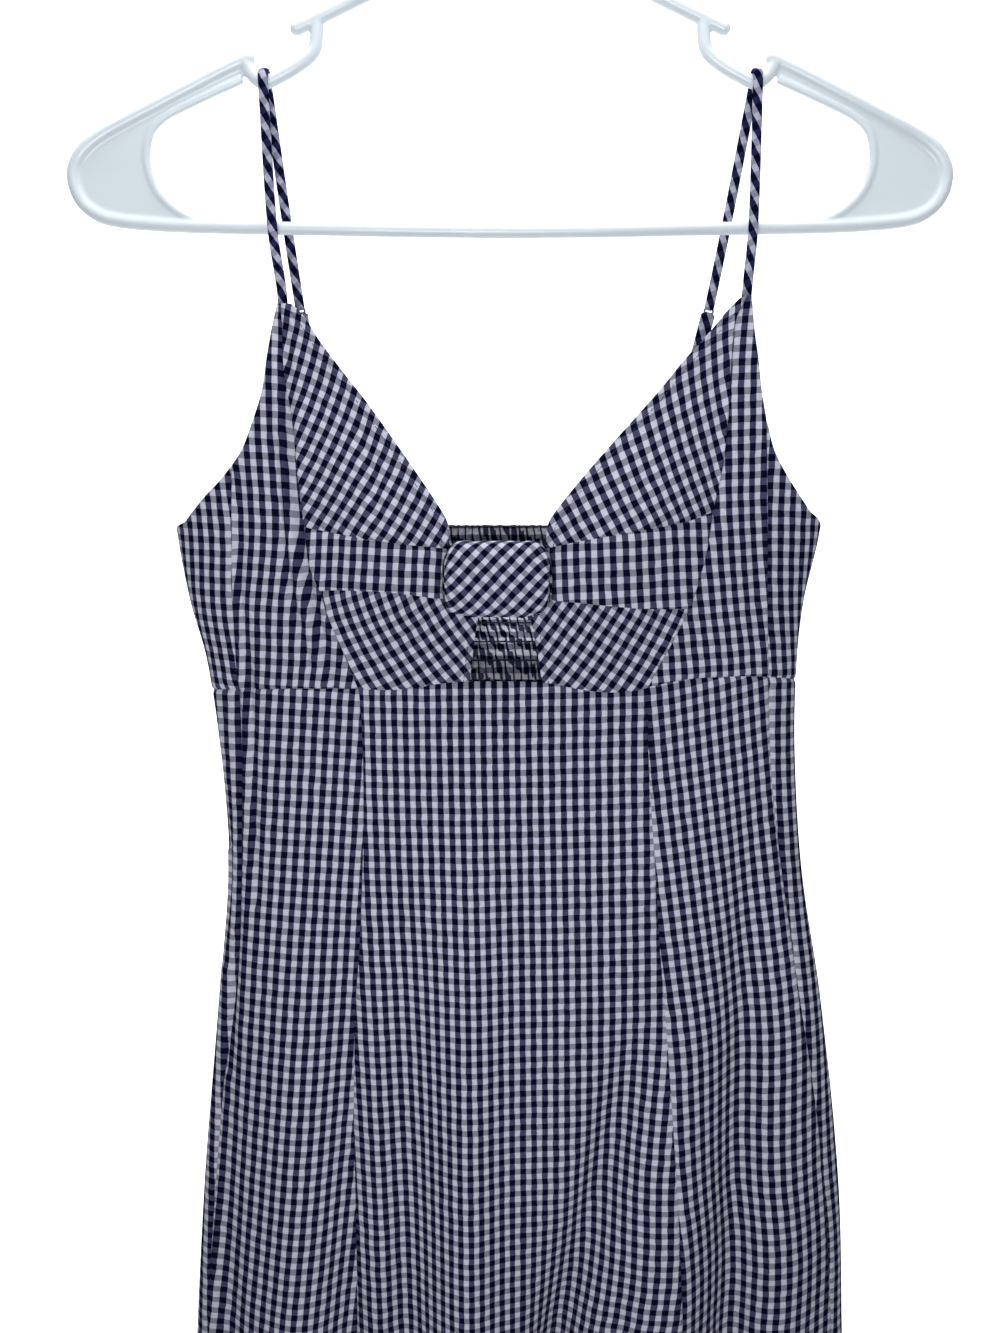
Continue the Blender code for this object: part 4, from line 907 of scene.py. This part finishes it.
def buildSkirt():
    finishes, step, yarns = ("seam", "seam", "seam", "turned"), skirt["step"], skirt["yarns"]
    both = {side: sideEdges(side) for side in ("left", "right")}
    left, right = (both[side]["princess"] for side in ("left", "right"))
    clothPanel("skirtCentreFront", "skirt_centre_front",
               (left, right, alongWaist(*(seams["princess"][side][0] for side in both)), bridge(left, right, 1)),
               finishes, step, yarns["centre"], ("lower_cup_left", "lower_cup_right"))
    for side, edges in both.items():
        outer, inner, back = edges["skirtSide"], edges["princess"], edges["skirtBack"]
        clothPanel(f"skirtSideFront_{side}", f"skirt_side_front_{side}",
                   (outer, inner, alongWaist(seams["skirtSide"][side][0], seams["princess"][side][0]),
                    bridge(outer, inner, 1)),
                   finishes, step, yarns[side], (f"side_front_bodice_{side}",))
        corner = sideCorner(side)
        top = joinedEdge((straightEdge(spotOn(outer, 0), corner), 3), (straightEdge(corner, spotOn(back, 0)), 7))
        clothPanel(f"skirtSideBack_{side}", f"skirt_side_back_{side}", (outer, back, top, bridge(outer, back, 1)),
                   finishes, step, yarns[side + "Back"], (f"side_back_bodice_{side}",))
    left, right = backRun("skirtBack")
    clothPanel("skirtCentreBack", "skirt_centre_back", (left, right, bridge(left, right, 0), bridge(left, right, 1)),
               finishes, step, hangsFrom=("smocked_back",))


buildBodice()
print("dress: bodice sewn")
buildSkirt()
print("dress: skirt sewn")


knot = {
    "middle": (-0.0061, -0.037, -0.3926),
    "half": (0.0248, 0.0088, 0.0178),
    "endPower": 5.0,
    "roundPower": 3.0,
    "girthAtEnds": 0.62,
    "biasDegrees": 43,
    "tuckDepth": 0.0007,
    "tuckStart": 0.15,
    "tuckReach": 0.6,
    "tuckWaves": (19, 2.2, 5),
    "rowsRound": 120,
    "columns": 57,
    "crowding": (0.55, 0.45),  # how evenly the columns lie, against how close together near the ends
    "checkShift": 0.3,
}


def buildKnot():
    # A bias strip wound once round the bow, its ends sewn together behind and its edges turned in
    half = knot["half"]
    edge = (1 - knot["girthAtEnds"] ** knot["endPower"]) ** (1 / knot["endPower"])
    bend = np.sin(np.linspace(-1, 1, knot["columns"]) * np.pi / 2)
    even, close = knot["crowding"]
    share = edge * (even * bend + close * np.sign(bend) * (1 - (1 - np.abs(bend)) ** 2))
    girth = (1 - np.abs(share) ** knot["endPower"]) ** (1 / knot["endPower"])
    angle = np.linspace(0, 2 * np.pi, knot["rowsRound"] + 1)
    cosine, sine = np.cos(angle)[:, None], np.sin(angle)[:, None]
    power = 2 / knot["roundPower"]
    # The cloth gathers into small tucks where it turns in above and below
    pull = np.abs(sine) ** 3 * np.clip((np.abs(share) - knot["tuckStart"]) / knot["tuckReach"], 0, 1)[None, :]
    waves, wander, wanderWaves = knot["tuckWaves"]
    uneven = wander * np.sin(share[None, :] * wanderWaves)
    tuck = knot["tuckDepth"] * pull * np.sin(share[None, :] * waves + uneven + angle[:, None])
    x = knot["middle"][0] + half[0] * share[None, :] * np.ones_like(cosine)
    y = knot["middle"][1] + rounded(cosine, power) * girth * (half[1] + tuck)
    z = knot["middle"][2] + rounded(sine, power) * girth * (half[2] + tuck)
    points = np.stack([x, y, z], -1)
    middleColumn = knot["columns"] // 2
    along = runningLength(points, 1)
    along -= along[:, [middleColumn]]
    around = runningLength(points[:, middleColumn])
    around = np.broadcast_to((around - around[knot["rowsRound"] // 2])[:, None], along.shape)
    lean = math.radians(knot["biasDegrees"])
    # Round the front the rows run upwards, so down is against them
    across = along * math.cos(lean) + around * math.sin(lean)
    down = around * math.cos(lean) - along * math.sin(lean)
    checks = np.stack([across / gingham["acrossPeriod"] + knot["checkShift"], down / gingham["acrossPeriod"]], -1)
    piece = sheetMesh("bowKnot", points, checks, ginghamCotton, points - np.array(knot["middle"]))
    declareCloth(piece, ["knot"], "folded", ("bow_band_left", "bow_band_right"), *widestAndLongest(points))


buildKnot()
print("dress: knot wound")


straps = {
    "width": 0.0046,
    "thickness": 0.0024,
    "corners": 20,
    "roundPower": 0.8,
    "bluntShare": 0.45,  # how much of the thickness each end takes to round off
    "pathSteps": 60,
    "overSteps": 24,
    "tabSteps": 40,
    "tabWidth": 0.0068,
    "armRadius": 0.0033,
    "gap": 0.0003,
    "frontY": -0.0085,
    "ringY": 0.0085,
    "barClearY": 0.0062,
    "barZ": -0.231,
    "ringRadius": 0.0021,
    "ringWire": 0.0005,
    "threaded": 0.0004,  # how near the ring's middle the strap and the tab end
    "tabFoot": (0, -0.00075, 0.0013),  # how far off the back's top edge the tab ends
    "tabSag": 0.0015,
    "frontRise": 0.006,
    "yarnDegrees": 30,
    "sewnIn": 0.004,  # how far the strap goes down behind the cup
    "sewnY": -0.0058,
    # over the notch, past the lower bar in front and behind, both ends, and where the tab meets the back
    "left": {"notch": (-0.1134, -0.1664), "frontBar": -0.1112, "backBar": -0.106,
             "front": (-0.1075, -0.2646), "ring": (-0.1018, -0.2672), "tab": -0.0887},
    "right": {"notch": (0.1136, -0.1664), "frontBar": 0.1138, "backBar": 0.103,
              "front": (0.1119, -0.2604), "ring": (0.0968, -0.2672), "tab": 0.0748},
}


def smoothPath(points, steps):
    points = np.array(points, float)
    lengths = runningLength(points)
    marks = [0.0]
    for start, end in zip(lengths, lengths[1:]):
        marks += [start + (end - start) * (step + 1) / steps for step in range(steps)]
    return np.stack([smoothAt(lengths, points[:, axis], np.array(marks)) for axis in range(3)], -1)


def rouleau(name, path, width, thickness, cloth):
    # A flattened tube of bias-cut cloth along a path, its width kept along X, its ends rounded off
    count = straps["corners"]
    ahead = unit(np.gradient(path, axis=0))
    wide = unit(np.array([1.0, 0, 0]) - ahead * ahead[:, :1])
    thin = np.cross(ahead, wide)
    angle = 2 * np.pi * (np.arange(count + 1) + 0.5) / count
    run = runningLength(path)
    size = np.ones(len(path))
    blunt = thickness * straps["bluntShare"]
    for end in (run, run[-1] - run):
        size *= np.sqrt(np.clip(1 - (1 - np.clip(end / blunt, 0.12, 1)) ** 2, 0, 1))
    # The flat faces belly out a little and the edges stay round
    ring = np.stack([rounded(np.cos(angle), straps["roundPower"]) * width / 2,
                     rounded(np.sin(angle), straps["roundPower"]) * thickness / 2], -1)
    points = (path[:, None, :] + wide[:, None, :] * ring[None, :, :1] * size[:, None, None]
              + thin[:, None, :] * ring[None, :, 1:] * size[:, None, None])
    girth = runningLength(ring)
    # Pulled lengthwise, the bias cloth has its yarns steeper than 45 degrees
    turned = math.radians(straps["yarnDegrees"])
    across = run[:, None] * math.sin(turned) + girth[None, :] * math.cos(turned)
    down = girth[None, :] * math.sin(turned) - run[:, None] * math.cos(turned)
    checks = np.stack([across / gingham["acrossPeriod"], down / gingham["downPeriod"]], -1)

    data = bpy.data.meshes.new(name)
    rows = len(path)
    index = np.arange(rows * count).reshape(rows, count)
    after = np.roll(index, -1, axis=1)
    quads = np.stack([index[:-1], after[:-1], after[1:], index[1:]], -1).reshape(-1, 4)
    faces = quads.tolist() + [index[0][::-1].tolist(), index[-1].tolist()]
    data.from_pydata(points[:, :count].reshape(-1, 3).tolist(), [], faces)
    layer = data.uv_layers.new(name="grain")
    # The last corner of each ring takes the far side of the seam in the pattern
    nextChecks = checks[:, 1:]
    hereChecks = checks[:, :count]
    spots = np.stack([hereChecks[:-1], nextChecks[:-1], nextChecks[1:], hereChecks[1:]], 2).reshape(-1, 2)
    spots = np.concatenate([spots, hereChecks[0][::-1], hereChecks[-1]])
    layer.data.foreach_set("uv", spots.astype(np.float32).ravel())
    data.materials.append(cloth)
    mesh = bmesh.new()
    mesh.from_mesh(data)
    bmesh.ops.recalc_face_normals(mesh, faces=mesh.faces)
    mesh.to_mesh(data)
    mesh.free()
    data.shade_smooth()
    return addObject(name, data)


def finish(piece, node, slot):
    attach(piece, "root")
    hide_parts(node)
    return piece


def darkerGingham():
    # Pulled tight lengthwise, the bias tube shows its lengthwise yarns far more than its crosswise ones
    tones = dict(gingham, navyOnWhite="#202246", whiteOnNavy="#83859A", whiteOnWhite="#A9A9BC")
    return ginghamMaterial("yarnDyedCottonRouleau", tones)


def paintedShadeRingMetal():
    # Nylon-coated metal ring, as on lingerie straps. The real ring is pale; it is painted dark grey as painted shade,
    # for how dark it looks where it sits.
    material, tree, shader, _, cloud = cloudedMaterial("nylonCoatedRingPaintedShade", 900.0, 2.0, srgb("#4A484E"),
                                                       srgb("#6A686E"))
    rough = addNode(tree, "ShaderNodeMapRange", {"To Min": 0.24, "To Max": 0.4}, {"Value": cloud})
    tree.links.new(rough.outputs[0], shader.inputs["Roughness"])
    shader.inputs["Coat Weight"].default_value = 0.3
    return material


def buildStraps():
    metal, tubeCloth = paintedShadeRingMetal(), darkerGingham()
    for side in ("left", "right"):
        strap = straps[side]
        # The strap's corners stand further out than its flat side, as in the CAD
        loop = straps["armRadius"] + straps["gap"] + straps["thickness"] / 2 / math.cos(math.pi / 8)
        ringX, ringZ = strap["ring"]
        notchX, notchZ = strap["notch"]
        front = smoothPath([(strap["front"][0], straps["sewnY"], strap["front"][1] - straps["sewnIn"]),
                            (strap["front"][0], straps["frontY"], strap["front"][1] + straps["frontRise"]),
                            (strap["frontBar"], -straps["barClearY"], straps["barZ"]),
                            (notchX, -loop, notchZ)], straps["pathSteps"])
        back = smoothPath([(notchX, loop, notchZ),
                           (strap["backBar"], straps["barClearY"], straps["barZ"]),
                           (ringX, straps["ringY"], ringZ + straps["threaded"])], straps["pathSteps"])
        turned = np.radians(np.linspace(180, 0, straps["overSteps"] + 1))[1:-1]
        over = np.stack([np.full(len(turned), notchX), loop * np.cos(turned), notchZ + loop * np.sin(turned)], -1)
        path = np.concatenate([front, over, back])
        # Neither end is cut square: short extra steps round the last millimetre
        ends = np.linspace(0, 1, 6)[1:-1, None]
        path = np.concatenate([path[:1], path[0] + (path[1] - path[0]) * ends, path[1:-1],
                               path[-2] + (path[-1] - path[-2]) * ends, path[-1:]])
        finish(rouleau(f"strapTube_{side}", path, straps["width"], straps["thickness"], tubeCloth),
               f"strap_{side}", "gingham_cotton")

        bpy.ops.mesh.primitive_torus_add(major_segments=48, minor_segments=14, major_radius=straps["ringRadius"],
                                         minor_radius=straps["ringWire"])
        ring = bpy.context.object
        ring.name = ring.data.name = f"strapRing_{side}"
        upright = Matrix.Rotation(math.pi / 2, 4, "X")
        ring.data.transform(Matrix.Translation((ringX, straps["ringY"], ringZ)) @ upright)
        ring.data.materials.append(metal)
        ring.data.shade_smooth()
        finish(ring, f"strap_ring_{side}", "strap_ring")

        top = np.array([ringX, straps["ringY"], ringZ - straps["threaded"]])
        tabTurn = turnOf(strap["tab"], clothForm["underarmZ"], True)
        foot = clothPoint(tabTurn, clothForm["underarmZ"]) + np.array(straps["tabFoot"])
        middle = (top + foot) / 2 + np.array([0, straps["tabSag"], 0])
        path = smoothPath([top, middle, foot], straps["tabSteps"])
        finish(rouleau(f"strapTab_{side}", path, straps["tabWidth"], straps["thickness"], tubeCloth),
               f"strap_tab_{side}", "gingham_cotton")


buildStraps()
print("dress: straps, rings and tabs")


smocking = {
    "gathers": 64,
    "rows": 9,
    "height": 0.0024,
    "pinch": 0.2,
    "bunching": 0.22,
    "flatShare": 0.07,
    # depth, waves across, shift from row to row
    "driftWaves": ((0.3, 71, 2.1), (0.22, 167, 1.7)),
    "heightWave": (0.22, 233, 5.3),
    "puffPower": 0.7,
    "fullness": 1.6,  # how much wider the cloth is than the back
    "stepsPerGather": 7,
    "stepsPerRow": 8,
    "waistTuck": 0.0009,
    "waistOverlap": 0.0006,
}


def backEdges():
    left, right = backRun("back")
    lower = np.array([0, -smocking["waistOverlap"]])
    return left, right, bridge(left, right, 0), straightEdge(spotOn(left, 1) + lower, spotOn(right, 1) + lower)


def gatherRise(u, v):
    # Uneven gathers: each starts and ends a little off its neighbour above
    band = v * smocking["rows"]
    row = np.floor(band + 0.5)
    (byRow, rowWaves, rowShift), (sloped, slopedWaves, slope) = smocking["driftWaves"]
    drift = byRow * np.sin(u * rowWaves + row * rowShift) + sloped * np.sin(u * slopedWaves + band * slope)
    crest = 0.5 - 0.5 * np.cos(2 * np.pi * (smocking["gathers"] * u + drift))
    depth, waves, shift = smocking["heightWave"]
    uneven = 1 - depth + depth * np.sin(u * waves + row * shift)
    # Each row of elastic pulls the cloth in, and the cloth puffs between the rows
    near = np.abs(band % 1 - 0.5) * 2
    puff = smocking["pinch"] + (1 - smocking["pinch"]) * near ** smocking["puffPower"]
    # The last few millimetres lie flat and turn in to the waist seam
    flat = np.clip((1 - v) / smocking["flatShare"], 0, 1)
    return smocking["height"] * crest * uneven * puff * flat - smocking["waistTuck"] * (1 - flat) ** 2


def smockedGinghamPaintedLight():
    # The cloth stands up between the elastic rows. Its white yarns are painted paler than on the rest of the dress:
    # painted light, to brighten the back where it lies in shade.
    tones = dict(gingham, whiteOnNavy="#83859A", whiteOnWhite="#E4E5F0")
    return ginghamMaterial("yarnDyedCottonSmockedPaintedLight", tones)


def buildSmockedBack():
    columns = smocking["gathers"] * smocking["stepsPerGather"]
    rows = smocking["rows"] * smocking["stepsPerRow"]
    u, v = np.linspace(0, 1, columns + 1), np.linspace(0, 1, rows + 1)
    turn, z, points, normals = onForm(filledIn(*backEdges(), u, v))
    checks = straightGrain(turn, z, smocking["fullness"])
    # The checks bunch up where the cloth folds back into a gather
    u, v = np.broadcast_arrays(u[None, :], v[:, None])
    checks[..., 0] += smocking["bunching"] * np.sin(2 * np.pi * smocking["gathers"] * u)
    width, length = widestAndLongest(points)
    points = points + normals * gatherRise(u, v)[..., None]
    piece = sheetMesh("smockedBack", points, checks, smockedGinghamPaintedLight(), normals)
    declareCloth(piece, ["smocked_back"], "gathered", ("side_back_bodice_left", "side_back_bodice_right"),
                 width, length, smocking["fullness"])


buildSmockedBack()
print("dress: back smocked")


# Threads: elastic on the smocked back and top stitching beside edges. The elastic is dark and thick so that it also
# paints the shade along the pinched rows.
threads = {
    "elasticRadius": 0.00045,
    "elasticOff": (0.6, 0.5),  # in radii, how far each row stands off the cloth inside and outside
    # Dark elastic colour: partly the thread's own, partly painted shade along the rows
    "elasticAndRowShadeColour": "#0F1226",
    "stitchSpacing": 0.0026,
    "stitchLength": 0.0019,
    "stitchRadius": 0.00016,
    "stitchColour": "#15182F",
    "palerBy": 1.9,
    "hemRise": 0.02,
    # how far inside its edge each row runs, and how far below
    "edgeRows": {"keyhole": (-0.003, 0), "neckline": (-0.0035, 0.0012)},
    "edgeLift": 0.0005,
    "hemLift": 0.0002,
    "edgeSteps": 60,
    "hemSteps": 500,
    "seed": 11,
}


def cottonThread(name, colour):
    # Spun sewing thread with its twist
    paler = tuple(min(1.0, channel * threads["palerBy"]) for channel in srgb(colour)[:3]) + (1.0,)
    material, tree, shader, _, twist = cloudedMaterial(name, 2600.0, 2.0, srgb(colour), paler)
    bump = addNode(tree, "ShaderNodeBump", {"Strength": 0.5, "Distance": 0.00008}, {"Height": twist})
    tree.links.new(bump.outputs["Normal"], shader.inputs["Normal"])
    shader.inputs["Roughness"].default_value = 0.8
    return material


def threadGroup(name, stitched):
    # Geometry Nodes: the edges of a mesh become one long thread, or a row of short stitches
    group = bpy.data.node_groups.new(name, "GeometryNodeTree")
    face = group.interface
    face.new_socket("Geometry", in_out="OUTPUT", socket_type="NodeSocketGeometry")
    face.new_socket("Geometry", in_out="INPUT", socket_type="NodeSocketGeometry")
    face.new_socket("Radius", in_out="INPUT", socket_type="NodeSocketFloat")
    face.new_socket("Material", in_out="INPUT", socket_type="NodeSocketMaterial")
    given = addNode(group, "NodeGroupInput")
    path = addNode(group, "GeometryNodeMeshToCurve", links={"Mesh": given.outputs["Geometry"]})
    if stitched:
        for label, kind in (("Spacing", "NodeSocketFloat"), ("Length", "NodeSocketFloat"), ("Seed", "NodeSocketInt")):
            face.new_socket(label, in_out="INPUT", socket_type=kind)
        spots = addNode(group, "GeometryNodeCurveToPoints", mode="LENGTH",
                        links={"Curve": path.outputs["Curve"], "Length": given.outputs["Spacing"]})
        stitch = addNode(group, "GeometryNodeMeshCylinder", {"Vertices": 6, "Side Segments": 1},
                         {"Radius": given.outputs["Radius"], "Depth": given.outputs["Length"]})
        vary = addNode(group, "FunctionNodeRandomValue", {2: 0.85, 3: 1.1}, {"Seed": given.outputs["Seed"]},
                       data_type="FLOAT")
        placed = addNode(group, "GeometryNodeInstanceOnPoints",
                         links={"Points": spots.outputs["Points"], "Instance": stitch.outputs["Mesh"],
                                "Rotation": spots.outputs["Rotation"], "Scale": vary.outputs[1]})
        shape = placed.outputs["Instances"]
    else:
        ring = addNode(group, "GeometryNodeCurvePrimitiveCircle", {"Resolution": 6},
                       {"Radius": given.outputs["Radius"]})
        tube = addNode(group, "GeometryNodeCurveToMesh", {"Fill Caps": True},
                       {"Curve": path.outputs["Curve"], "Profile Curve": ring.outputs["Curve"]})
        shape = tube.outputs["Mesh"]
    made = addNode(group, "GeometryNodeRealizeInstances", links={"Geometry": shape})
    coloured = addNode(group, "GeometryNodeSetMaterial",
                       links={"Geometry": made.outputs["Geometry"], "Material": given.outputs["Material"]})
    addNode(group, "NodeGroupOutput", links={"Geometry": coloured.outputs["Geometry"]})
    return group


def threadPiece(name, group, paths, values):
    points = np.concatenate(paths)
    edges, first = [], 0
    for path in paths:
        edges += [(first + i, first + i + 1) for i in range(len(path) - 1)]
        first += len(path)
    data = bpy.data.meshes.new(name)
    data.from_pydata(points.tolist(), edges, [])
    piece = addObject(name, data)
    threading = piece.modifiers.new("thread", "NODES")
    threading.node_group = group
    for socket in group.interface.items_tree:
        if socket.in_out == "INPUT" and socket.name in values:
            threading[socket.identifier] = values[socket.name]
    piece.data.update()
    plainMesh(piece)
    piece.data.shade_smooth()
    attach(piece, "root")
    return piece


def onCloth(edge, rise, steps):
    # An edge as points that far off the cloth
    turn, z, points, normals = onForm(edge(np.linspace(0, 1, steps)))
    return points + normals * (creaseRise(turn, z, points) + rise)[:, None]


def buildThreads():
    longThread = threadGroup("longThread", False)
    stitchRow = threadGroup("stitchRow", True)
    elastic = cottonThread("elasticThreadAndRowShade", threads["elasticAndRowShadeColour"])
    sewing = cottonThread("sewingThread", threads["stitchColour"])

    u = np.linspace(0, 1, smocking["gathers"] * smocking["stepsPerGather"] + 1)
    rows = (np.arange(smocking["rows"]) + 0.5) / smocking["rows"]
    _, _, points, normals = onForm(filledIn(*backEdges(), u, rows))
    rise = gatherRise(*np.broadcast_arrays(u[None, :], rows[:, None]))
    # Dark elastic inside and out, which also stands for the rows' shade: painted shade
    radius, (within, without) = threads["elasticRadius"], threads["elasticOff"]
    inside = points + normals * (rise - gingham["thickness"] - radius * within)[..., None]
    outside = points + normals * (rise + radius * without)[..., None]
    threadPiece("smockingElasticAndRowShade", longThread, list(inside) + list(outside),
                {"Radius": radius, "Material": elastic})

    values = {"Radius": threads["stitchRadius"], "Spacing": threads["stitchSpacing"],
              "Length": threads["stitchLength"], "Seed": threads["seed"], "Material": sewing}
    paths = []
    for side in ("left", "right"):
        inward = 1 if side == "left" else -1
        for seam, (shift, drop) in threads["edgeRows"].items():
            shifted = [(x + inward * shift, z - drop) for x, z in seams[seam][side][1:]]
            paths.append(onCloth(alongPlaces(shifted), threads["edgeLift"], threads["edgeSteps"]))
    # The hem is turned up twice and sewn from inside
    hem = clothForm["hemZ"] + threads["hemRise"]
    paths.append(onCloth(lambda shares: np.stack([shares, np.full(len(shares), hem)], -1), threads["hemLift"],
                         threads["hemSteps"]))
    threadPiece("topStitching", stitchRow, paths, values)


buildThreads()
print("dress: threads sewn")


hanger = {
    "shoulderTube": ((-0.1206, -0.156), (-0.1345, -0.162), (-0.1492, -0.169), (-0.1639, -0.176), (-0.1784, -0.1829),
                     (-0.1885, -0.188), (-0.1965, -0.1932), (-0.202, -0.199), (-0.2047, -0.206), (-0.2037, -0.214),
                     (-0.2, -0.2202), (-0.193, -0.225), (-0.1841, -0.2272), (-0.1718, -0.2284), (-0.1537, -0.2294),
                     (-0.1161, -0.2302), (0.0, -0.2318)),
    "notch": ((-0.1222, -0.1572), (-0.1188, -0.1634), (-0.114, -0.1664), (-0.108, -0.1644), (-0.0965, -0.1582),
              (-0.0905, -0.153), (-0.0888, -0.1465), (-0.0886, -0.1395)),
    "upperArm": ((-0.0978, -0.1432), (-0.0755, -0.1332), (-0.04, -0.117), (-0.015, -0.1045), (0.0, -0.1)),
    "webRim": ((-0.1238, -0.165), (-0.1367, -0.1704), (-0.152, -0.177), (-0.1605, -0.1812), (-0.1668, -0.1869),
               (-0.1696, -0.195), (-0.1696, -0.2031), (-0.1658, -0.214), (-0.1564, -0.2232), (-0.145, -0.2285)),
    "hookStem": ((0.0, -0.102), (0.0, -0.082), (0.0002, -0.064), (0.004, -0.05)),
    "tubeRadius": 0.0031,
    "armRadius": 0.0033,
    "notchShare": 0.94,
    "hookRadius": 0.0032,
    "hookInside": 0.019,
    "rimRadius": 0.0019,
    "webHalfThickness": 0.0008,
    "voxel": 0.00075,
    "hookTurn": (-50, 206, 4.25),  # degrees where its arc starts and stops, and each step
    "pathSteps": 6,
    "armSteps": 8,
}


def polypropylene():
    # Moulded white polypropylene, faintly blue, with a satin skin
    material, tree, shader, place, cloud = cloudedMaterial("mouldedPolypropylene", 1.0, 3.0, srgb("#D2DDE4"),
                                                           srgb("#DCE5EC"), (18.0, 60.0, 60.0))
    rough = addNode(tree, "ShaderNodeMapRange", {"To Min": 0.16, "To Max": 0.28}, {"Value": cloud})
    tree.links.new(rough.outputs[0], shader.inputs["Roughness"])
    skin = addNode(tree, "ShaderNodeTexNoise", {"Scale": 1400.0, "Detail": 2.0}, {"Vector": place})
    bump = addNode(tree, "ShaderNodeBump", {"Strength": 0.12, "Distance": 0.0001}, {"Height": skin.outputs["Fac"]})
    tree.links.new(bump.outputs["Normal"], shader.inputs["Normal"])
    shader.inputs["Specular IOR Level"].default_value = 0.4
    shader.inputs["Subsurface Weight"].default_value = 0.04
    shader.inputs["Subsurface Radius"].default_value = (0.004, 0.004, 0.004)
    return material


def mirroredPlaces(places):
    return tuple(places) + tuple((-x, z) for x, z in reversed(places[:-1]))


def flippedPlaces(places):
    return tuple((-x, z) for x, z in places)


def flatPath(places, steps):
    return smoothPath([(x, 0, z) for x, z in places], steps)


def polyCurve(name, dimensions, points):
    data = bpy.data.curves.new(name, "CURVE")
    data.dimensions = dimensions
    spline = data.splines.new("POLY")
    spline.points.add(len(points) - 1)
    for target, point in zip(spline.points, points):
        target.co = (*point, 1)
    return data, spline


def tubeMesh(path, radius):
    # A round tube in the hanger's plane
    data, _ = polyCurve("tube", "3D", path)
    data.bevel_depth = radius
    data.bevel_resolution = 5
    data.use_fill_caps = True
    return shapeMesh(data)


def shapeMesh(data):
    shape = addObject("shape", data)
    bpy.context.view_layer.update()
    mesh = bpy.data.meshes.new_from_object(shape.evaluated_get(bpy.context.evaluated_depsgraph_get()))
    bpy.data.objects.remove(shape)
    return mesh


def webMesh(outline):
    data, spline = polyCurve("web", "2D", [(x, z, 0) for x, _, z in outline])
    data.fill_mode = "BOTH"
    data.extrude = hanger["webHalfThickness"]
    spline.use_cyclic_u = True
    mesh = shapeMesh(data)
    mesh.transform(Matrix.Rotation(math.pi / 2, 4, "X"))
    return mesh


def hookPath():
    centreZ = -hanger["hookInside"]
    radius = hanger["hookInside"] + hanger["hookRadius"]
    turned = np.radians(np.arange(*hanger["hookTurn"]))
    arc = np.stack([radius * np.cos(turned), 0 * turned, centreZ + radius * np.sin(turned)], -1)
    return np.concatenate([flatPath(hanger["hookStem"], hanger["armSteps"]), arc])


def buildHanger():
    steps, armSteps = hanger["pathSteps"], hanger["armSteps"]
    meshes = [tubeMesh(flatPath(mirroredPlaces(hanger["shoulderTube"]), steps), hanger["tubeRadius"]),
              tubeMesh(flatPath(mirroredPlaces(hanger["upperArm"]), armSteps), hanger["armRadius"]),
              tubeMesh(hookPath(), hanger["hookRadius"])]
    for turned in (tuple, flippedPlaces):
        rim = flatPath(turned(hanger["webRim"]), steps)
        outer = flatPath(turned(hanger["shoulderTube"][:-2]), steps)
        notch = flatPath(turned(hanger["notch"]), armSteps)
        meshes.append(tubeMesh(notch, hanger["armRadius"] * hanger["notchShare"]))
        meshes.append(tubeMesh(rim, hanger["rimRadius"]))
        meshes.append(webMesh(np.concatenate([rim, outer[::-1]])))
    joined = bmesh.new()
    for mesh in meshes:
        joined.from_mesh(mesh)
    # Ball ends where the tubes end free
    balls = [(hanger["shoulderTube"][0], hanger["tubeRadius"]), (hanger["upperArm"][0], hanger["armRadius"])]
    places = [((side * x, 0, z), radius) for (x, z), radius in balls for side in (-1, 1)]
    tip = hookPath()[-1]
    for place, radius in places + [(tuple(tip), hanger["hookRadius"])]:
        bmesh.ops.create_uvsphere(joined, u_segments=24, v_segments=16, radius=radius,
                                  matrix=Matrix.Translation(place))
    data = bpy.data.meshes.new("hanger")
    joined.to_mesh(data)
    joined.free()
    piece = addObject("hanger", data)
    piece.name = "hangerBody"
    skin = piece.modifiers.new("moulding", "REMESH")
    skin.mode = "VOXEL"
    skin.voxel_size = hanger["voxel"]
    soften = piece.modifiers.new("fillets", "SMOOTH")
    soften.factor = 0.5
    soften.iterations = 2
    plainMesh(piece)
    piece.data.materials.clear()
    piece.data.materials.append(polypropylene())
    piece.data.shade_smooth()
    print(f"dress: hanger has {len(piece.data.polygons) * 2} triangles")
    finish(piece, "hanger", "hanger_plastic")


buildHanger()
print("dress: hanger moulded")

for name, (width, length, area) in cutSizes.items():
    print(f"dress: {name} cut {width:.3f} x {length:.3f} m, {area:.4f} m2")
